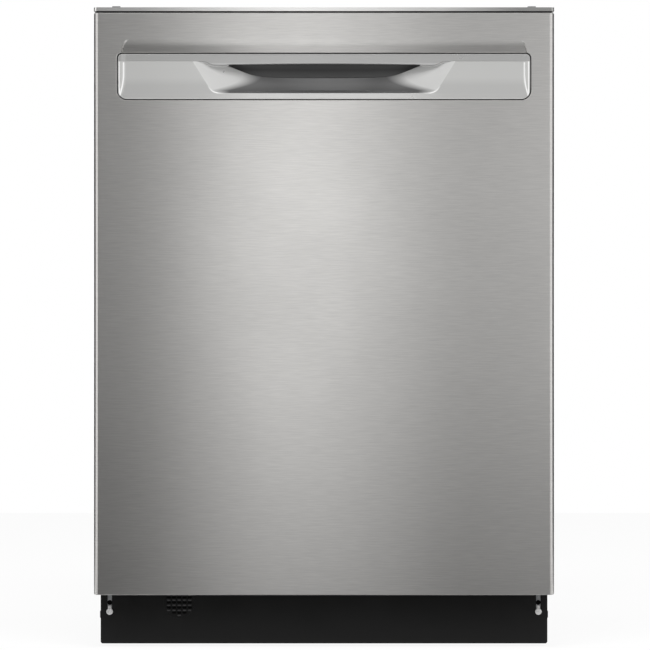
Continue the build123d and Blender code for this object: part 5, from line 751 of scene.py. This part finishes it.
def handle_insert():
    """The silver insert as rows from its lower edge, over the tray, bowl and hollow, to its upper edge."""
    columns = insert_columns()
    grid, hollow_rows = [], ()
    for x in columns:
        u = abs(x)
        low_in = max(0.0, u - (INSERT_HALF - CORNER_LOW))
        high_in = max(0.0, u - (INSERT_HALF - CORNER_HIGH))
        bottom = INSERT_LOW + CORNER_LOW - math.sqrt(max(CORNER_LOW ** 2 - low_in ** 2, 0.0))
        top = INSERT_HIGH - CORNER_HIGH + math.sqrt(max(CORNER_HIGH ** 2 - high_in ** 2, 0.0))
        lip, bowl_top = curve_at(LIP_EDGE, u), curve_at(BOWL_TOP, u)

        def rounded_by(z):
            """Extra depth near the outline, from the distance to it."""
            if u < INSERT_HALF - CORNER_LOW:
                near = min(z - bottom, top - z)
            else:
                near = min(INSERT_HALF - u,
                           CORNER_LOW - math.hypot(low_in, max(0.0, INSERT_LOW + CORNER_LOW - z)),
                           CORNER_HIGH - math.hypot(high_in, max(0.0, z - INSERT_HIGH + CORNER_HIGH)))
            near = min(max(near, 0.0), INSERT_ROUND)
            return INSERT_ROUND - math.sqrt(max(INSERT_ROUND ** 2 - (INSERT_ROUND - near) ** 2, 0.0))

        rows = [(bottom, INSERT_BACK)]
        zs = [bottom + ring for ring in ROUND_RINGS]
        shut = smooth(u, *HOLLOW_SHUT)
        start, end = zs[-1], bowl_top + (min(bowl_top, lip) - bowl_top) * shut
        zs += [start + (end - start) * i / BOWL_ROWS for i in range(1, BOWL_ROWS + 1)]
        rows += [(z, max(bowl_depth(u, z), rounded_by(z)) if z > bottom else INSERT_ROUND) for z in zs]
        depth = rows[-1][1]
        face = LIP_FACE * within_wall(u)
        back = depth + HOLLOW_BACK
        lip_back = min(LIP_BACK, max(face + LIP_SHEET, depth * LIP_SHARE))
        opened = [(bowl_top + SEAM, back), ((bowl_top + HOLLOW_TOP) / 2, back),
                  (HOLLOW_TOP, back - CEILING_INSETS[0]), (HOLLOW_TOP, (back + lip_back) / 2),
                  (HOLLOW_TOP, lip_back + CEILING_INSETS[1]),
                  (lip + (HOLLOW_TOP - lip) * STRAIGHT_SHARE, lip_back), (lip + SEAM, lip_back)]
        hollow_rows = (len(rows) - 1, len(rows) + len(opened) - 1)
        opened += [(lip + rise, face + sink) for rise, sink in LIP_ROLL]
        for i, (open_z, open_depth) in enumerate(opened):
            share = (i + 1) / len(opened)
            closed_z = end + (lip + STEP_RISE - end) * share
            closed_depth = depth + (face - depth) * smooth(share, 0, 1)
            rows.append((open_z + (closed_z - open_z) * shut,
                         open_depth + (closed_depth - open_depth) * shut))
        start = lip + LIP_START
        end = max(top - INSERT_ROUND, start + 0.5)
        zs = [start + (end - start) * i / FACE_ROWS for i in range(FACE_ROWS + 1)]
        zs += [top - ring for ring in reversed(ROUND_RINGS[:-1])]
        rows += [(z, face + (rounded_by(z) if z < top else INSERT_ROUND)) for z in zs]
        rows.append((top, INSERT_BACK))
        grid.append(rows)
    count = len(grid[0])
    vertices, faces, looks = [], [], []
    for x, rows in zip(columns, grid):
        vertices += [(x, FRONT_Y + depth, z) for z, depth in rows]
    for i in range(len(columns) - 1):
        for k in range(count - 1):
            a = i * count + k
            faces.append((a, a + count, a + count + 1, a + 1))
            # The hollow's faces take its painted shade, and the lip's faces the lip's painted shade
            in_hollow_shade = hollow_rows[0] <= k < hollow_rows[1] and abs(columns[i]) < HOLLOW_HALF
            looks.append(1 if in_hollow_shade else 2 if k >= hollow_rows[1] else 0)
    piece = add_mm("handle_insert", vertices, faces, LOOKS["handle_silver"])
    piece.data.materials.append(LOOKS["hollow"])
    piece.data.materials.append(LOOKS["handle_lip"])
    piece.data.polygons.foreach_set("material_index", looks[:len(piece.data.polygons)])
    return piece


insert = handle_insert()
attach(insert, "door")
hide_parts("handle_pocket")

# ------------------------------------------------- sound blanket, door pad
BLANKET_THICK = 0.008
BLANKET_STEP = 0.0065
BLANKET_PITCH = 0.115
SPOT_SINK, SPOT_POWER = 0.0042, 10
EDGE_SINK, EDGE_REACH = 0.0022, 0.014


def remeshed_copy(node, name, step, look):
    """A node's own form as an even net of points, ready to be shaped."""
    piece = placed(name, NODES[node].data.copy())
    net = piece.modifiers.new("net", "REMESH")
    net.mode = "VOXEL"
    net.voxel_size = step
    shape = bpy.data.meshes.new_from_object(piece.evaluated_get(bpy.context.evaluated_depsgraph_get()))
    piece.modifiers.remove(net)
    piece.data = shape
    shape.name = name
    shape.materials.clear()
    shape.materials.append(look)
    shape.polygons.foreach_set("use_smooth", [True] * len(shape.polygons))
    return piece


def blanket():
    """A felt blanket over the tub, sunk at its weld spots and thin along its edges."""
    low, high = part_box("tub_blanket")
    piece = remeshed_copy("tub_blanket", "sound_blanket", BLANKET_STEP, LOOKS["blanket"])
    centre_x = (low.x + high.x) / 2
    for vertex in piece.data.vertices:
        point = vertex.co
        gaps = (point.x - low.x, high.x - point.x, high.z - point.z, high.y - point.y)
        nearest = min(range(4), key=lambda i: gaps[i])
        outer = 1.0 if gaps[nearest] < BLANKET_THICK / 2 else 0.0
        edge = min(point.y - low.y, point.z - low.z)
        along = (point.x - centre_x, point.y - low.y, point.z - low.z)
        spots = [max(math.cos(2 * math.pi * place / BLANKET_PITCH), 0.0) for place in along]
        first, second = ((1, 2), (1, 2), (0, 1), (0, 2))[nearest]
        sink = SPOT_SINK * (spots[first] * spots[second]) ** SPOT_POWER
        sink += EDGE_SINK * max(0.0, 1 - edge / EDGE_REACH) ** 2
        inwards = (Vector((1, 0, 0)), Vector((-1, 0, 0)), Vector((0, 0, -1)), Vector((0, -1, 0)))[nearest]
        vertex.co = point + inwards * (outer * sink)
    return piece


cover = blanket()
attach(cover, "cabinet")
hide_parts("tub_blanket")

PAD_STEP = 0.007
PAD_CHANNELS, CHANNEL_SINK, CHANNEL_HALF = 4, 0.32, 0.006
CROWN_SINK, CROWN_REACH, PAD_MOST_SINK = 0.5, 0.035, 0.6


def door_pad():
    """The door's damping pad: crowned, with rounded sides and pressed channels across it."""
    low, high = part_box("door_insulation")
    piece = remeshed_copy("door_insulation", "damping_pad", PAD_STEP, LOOKS["pad"])
    middle = (low.y + high.y) / 2
    for vertex in piece.data.vertices:
        point = vertex.co
        edge = min(point.x - low.x, high.x - point.x, point.z - low.z, high.z - point.z)
        thin = CROWN_SINK * max(0.0, 1 - max(edge, 0.0) / CROWN_REACH) ** 2
        share = (point.z - low.z) / (high.z - low.z) * PAD_CHANNELS
        near = abs(share - round(share)) * (high.z - low.z) / PAD_CHANNELS
        if 0.5 < share < PAD_CHANNELS - 0.5:
            thin += CHANNEL_SINK * math.exp(-(near / CHANNEL_HALF) ** 2)
        vertex.co.y = middle + (point.y - middle) * (1 - min(PAD_MOST_SINK, thin))
    return piece


pad = door_pad()
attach(pad, "door")
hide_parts("door_insulation")

# The toe plate's vent: a dark disc behind its slots, painted shade where the slots show only shade, and a
# small hood under each slot, painted lighter as a painted highlight
VENT_CENTRE = (-0.1935, 0.0556)
VENT_RADIUS = 0.0207
VENT_PITCH = (0.007, 0.0068)
HOOD_SIZE = (0.0025, 0.0011)
HOOD_PROUD = 0.0009
SHADE_DISC_BACK, SHADE_DISC_PROUD = 0.0012, 0.0001
RIM_WIRE, RIM_STEPS, SHADE_DISC_SIDES = 0.0003, 64, 48


def domed(name, centre, radius_x, radius_z, face, proud, look, sides=24, rings=6):
    """A low oval dome on a flat face that looks along -Y."""
    vertices = [(centre[0], face - proud, centre[1])]
    for k in range(1, rings + 1):
        tilt = math.pi / 2 * k / rings
        for i in range(sides):
            angle = 2 * math.pi * i / sides
            vertices.append((centre[0] + radius_x * math.sin(tilt) * math.cos(angle),
                             face - proud * math.cos(tilt),
                             centre[1] + radius_z * math.sin(tilt) * math.sin(angle)))
    faces = [(0, 1 + (i + 1) % sides, 1 + i) for i in range(sides)]
    for k in range(rings - 1):
        for i in range(sides):
            a, b = 1 + k * sides + i, 1 + k * sides + (i + 1) % sides
            faces.append((a, b, b + sides, a + sides))
    faces.append(tuple(range(1 + (rings - 1) * sides, 1 + rings * sides)))
    return add_mesh(name, vertices, faces, look)


def vent():
    """The vent's disc of painted shade, its hoods and rim, riding on the toe plate."""
    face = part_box("kick_plate")[0].y
    pieces = [domed("vent_shade_disc", VENT_CENTRE, VENT_RADIUS, VENT_RADIUS, face + SHADE_DISC_BACK, SHADE_DISC_PROUD,
                    LOOKS["dark_painted_shade"], SHADE_DISC_SIDES)]
    reach = int(VENT_RADIUS / VENT_PITCH[1])
    for row in range(-reach, reach + 1):
        for column in range(-reach, reach + 1):
            x, z = column * VENT_PITCH[0], (row - 0.5) * VENT_PITCH[1]
            if math.hypot(x, z) + HOOD_SIZE[0] < VENT_RADIUS:
                centre = (VENT_CENTRE[0] + x, VENT_CENTRE[1] + z)
                pieces.append(domed(f"vent_hood_{row + reach}_{column + reach}", centre, *HOOD_SIZE, face,
                                    HOOD_PROUD, LOOKS["hood"], sides=12, rings=3))
    turns = [2 * math.pi * i / RIM_STEPS for i in range(RIM_STEPS + 1)]
    rim = [Vector((VENT_CENTRE[0] + VENT_RADIUS * math.cos(turn), face,
                   VENT_CENTRE[1] + VENT_RADIUS * math.sin(turn))) for turn in turns]
    pieces.append(add_mesh("vent_rim", *tube_along(rim, RIM_WIRE), LOOKS["black_paint"]))
    for piece in pieces:
        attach(piece, "kick_plate")


vent()

# Dark caps that close the upper holes of the toe plate's brackets: painted shade where the holes show only
# shade
HOLE_SHADE_PLACE = (0.2864, 0.0556)
HOLE_SHADE_RADIUS, HOLE_SHADE_PROUD = 0.0044, 0.0003
BRACKET_FACE_Y = -0.2368
# Bright washer plates that show in the toe plate's slots above the screws, their zinc painted near white,
# partly painted light against the shade there
PLATE_HALF, PLATE_Z, PLATE_SHEET = 0.0022, (0.0436, 0.0516), 0.0006
PLATE_FRONT_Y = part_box("kick_plate")[0].y + 0.0003
for side, x in (("left", -HOLE_SHADE_PLACE[0]), ("right", HOLE_SHADE_PLACE[0])):
    hole_shade = domed("bracket_hole_shade_" + side, (x, HOLE_SHADE_PLACE[1]), HOLE_SHADE_RADIUS, HOLE_SHADE_RADIUS, BRACKET_FACE_Y, HOLE_SHADE_PROUD,
                LOOKS["dark_painted_shade"])
    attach(hole_shade, "cabinet")
    left, right, (low_z, high_z) = x - PLATE_HALF, x + PLATE_HALF, PLATE_Z
    vertices = [(a, y, z) for y in (PLATE_FRONT_Y, PLATE_FRONT_Y + PLATE_SHEET)
                for a, z in ((left, low_z), (right, low_z), (right, high_z), (left, high_z))]
    faces = [(0, 1, 2, 3), (7, 6, 5, 4)] + [(i, i + 4, (i + 1) % 4 + 4, (i + 1) % 4) for i in range(4)]
    plate = add_mesh("screw_washer_" + side, vertices, faces, LOOKS["zinc"])
    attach(plate, "cabinet")

# ------------------------------------------------------- camera, floor, lamps
CAMERA_PLACE = (0.0013, -4.881, 0.4265)
CAMERA_LENS, CAMERA_SENSOR, CAMERA_REACH = 192.3, 36.0, 50.0
camera = placed("camera", bpy.data.cameras.new("camera"))
camera.location = CAMERA_PLACE
camera.rotation_euler = (math.radians(90), 0, 0)
camera.data.lens = CAMERA_LENS
camera.data.sensor_width = CAMERA_SENSOR
camera.data.clip_end = CAMERA_REACH
bpy.context.scene.camera = camera
bpy.context.scene.view_settings.view_transform = "Standard"


def white_background(tree, lit, white, share):
    """Mixes a lit shader with plain white where camera, mirror or glass rays arrive."""
    rays = tree.nodes.new("ShaderNodeLightPath").outputs
    seen = combined(tree, "MAXIMUM", rays["Is Camera Ray"], rays["Is Glossy Ray"])
    seen = combined(tree, "MAXIMUM", seen, rays["Is Transmission Ray"])
    mix = tree.nodes.new("ShaderNodeMixShader")
    tree.links.new(combined(tree, "MULTIPLY", seen, share), mix.inputs["Fac"])
    tree.links.new(lit, mix.inputs[1])
    tree.links.new(white, mix.inputs[2])
    return mix.outputs["Shader"]


WORLD_STRENGTH = 0.5
world = bpy.data.worlds.new("studio")
bpy.context.scene.world = world
world.use_nodes = True
tree = world.node_tree
dim, white = tree.nodes["Background"], tree.nodes.new("ShaderNodeBackground")
for background, strength in ((dim, WORLD_STRENGTH), (white, 1.0)):
    background.inputs["Color"].default_value = (1, 1, 1, 1)
    background.inputs["Strength"].default_value = strength
surface = white_background(tree, dim.outputs["Background"], white.outputs["Background"], 1.0)
tree.links.new(surface, tree.nodes["World Output"].inputs["Surface"])

# A soft lamp overhead that shades the handle and doesn't show in the brushed door
KEY_PLACE, KEY_AIM = (0.0, -1.5, 2.7), (0.0, -0.25, 0.6)
KEY_SIZE = (1.8, 0.9)
KEY_POWER = 55.0
key_light = bpy.data.lights.new("key", "AREA")
key_light.shape = "RECTANGLE"
key_light.size, key_light.size_y = KEY_SIZE
key_light.energy = KEY_POWER
key = placed("key", key_light)
key.location = KEY_PLACE
key.rotation_euler = (Vector(KEY_PLACE) - Vector(KEY_AIM)).to_track_quat("Z", "Y").to_euler()
key.visible_glossy = False

FLOOR_HALF, FLOOR_COLOUR = 3.0, (0.85, 0.85, 0.85)
FLOOR_GLOW, FLOOR_WHITE = 1.04, 0.85
floor = add_mesh("floor", [(-FLOOR_HALF, -FLOOR_HALF, 0), (FLOOR_HALF, -FLOOR_HALF, 0),
                           (FLOOR_HALF, FLOOR_HALF, 0), (-FLOOR_HALF, FLOOR_HALF, 0)],
                 [(0, 1, 2, 3)], principled("floor_paint", FLOOR_COLOUR, 0.8)[0])
tree = floor.data.materials[0].node_tree
glow = tree.nodes.new("ShaderNodeEmission")
glow.inputs["Strength"].default_value = FLOOR_GLOW
surface = white_background(tree, tree.nodes["Principled BSDF"].outputs["BSDF"], glow.outputs["Emission"],
                           FLOOR_WHITE)
tree.links.new(surface, tree.nodes["Material Output"].inputs["Surface"])

# Graded cards that the door's brushed front mirrors: one upright, one low in front of the toe plate
CARD_Y = -1.35
CARD_HALF = 0.68
CARD_TOP = 1.5
FLOOR_CARD_Z = 0.003
# Light levels as places in metres and strengths: across the cards, up the upright one and back along the
# low one
ACROSS = [(-0.68, 0.11), (-0.6, 0.21), (-0.5, 0.32), (-0.4, 0.39), (-0.3, 0.36), (-0.2, 1.01), (-0.1, 1.66),
          (0.0, 1.6), (0.1, 1.2), (0.2, 0.67), (0.3, 0.81), (0.4, 0.96), (0.5, 0.98), (0.6, 1.05),
          (0.68, 1.2)]
UPWARDS = [(0.0, 0.02), (0.25, 0.48), (0.5, 0.88), (0.75, 1.0), (1.0, 0.57), (1.25, 0.12), (1.5, 0.02)]
BACKWARDS = [(-1.35, 0.26), (-0.66, 0.16), (-0.33, 0.03)]


def gradient(tree, value, stops):
    """Grey levels along a length, between the stops' places."""
    first, last = stops[0][0], stops[-1][0]
    share = ranged(tree, value, 0.0, 1.0, first, last)
    ramp = tree.nodes.new("ShaderNodeValToRGB")
    while len(ramp.color_ramp.elements) < len(stops):
        ramp.color_ramp.elements.new(0.5)
    for element, (place, level) in zip(ramp.color_ramp.elements, stops):
        element.position = (place - first) / (last - first)
        element.color = (level, level, level, 1)
    tree.links.new(share, ramp.inputs["Fac"])
    return ramp.outputs["Color"]


def graded_card(name, corners, axis, stops):
    """A softbox graded across and along one more axis, that only mirrors see."""
    material = bpy.data.materials.new(name + "_light")
    material.use_nodes = True
    tree = material.node_tree
    tree.nodes.remove(tree.nodes["Principled BSDF"])
    axes = object_axes(tree)
    levels = mixed(tree, 1.0, gradient(tree, axes["X"], ACROSS), gradient(tree, axes[axis], stops),
                   "MULTIPLY")
    emission = tree.nodes.new("ShaderNodeEmission")
    tree.links.new(levels, emission.inputs["Color"])
    tree.links.new(emission.outputs["Emission"], tree.nodes["Material Output"].inputs["Surface"])
    card = add_mesh(name, corners, [(0, 1, 2, 3)], material)
    card.visible_camera = False
    card.visible_diffuse = False
    return card


graded_card("front_card", [(-CARD_HALF, CARD_Y, 0), (CARD_HALF, CARD_Y, 0), (CARD_HALF, CARD_Y, CARD_TOP),
                           (-CARD_HALF, CARD_Y, CARD_TOP)], "Z", UPWARDS)
CARD_END_Y = BACKWARDS[-1][0]
low_card = graded_card("low_card", [(-CARD_HALF, CARD_Y, FLOOR_CARD_Z), (CARD_HALF, CARD_Y, FLOOR_CARD_Z),
                                    (CARD_HALF, CARD_END_Y, FLOOR_CARD_Z),
                                    (-CARD_HALF, CARD_END_Y, FLOOR_CARD_Z)], "Y", BACKWARDS)
low_card.visible_shadow = False

# Dark flags beside the door, which draw the thin dark line along its rounded edges
FLAG_X = 0.583
FLAG_Y = (-0.355, 0.04)
FLAG_Z = (0.05, 0.95)
for side, x in (("left", -FLAG_X), ("right", FLAG_X)):
    black = principled("flag_cloth_" + side, (0.02, 0.02, 0.02), 1.0, Specular_IOR_Level=0.0)[0]
    corners = [(x, FLAG_Y[0], FLAG_Z[0]), (x, FLAG_Y[1], FLAG_Z[0]), (x, FLAG_Y[1], FLAG_Z[1]),
               (x, FLAG_Y[0], FLAG_Z[1])]
    flag = add_mesh("flag_" + side, corners, [(0, 1, 2, 3)], black)
    flag.visible_camera = False
    flag.visible_diffuse = False
    flag.visible_shadow = False
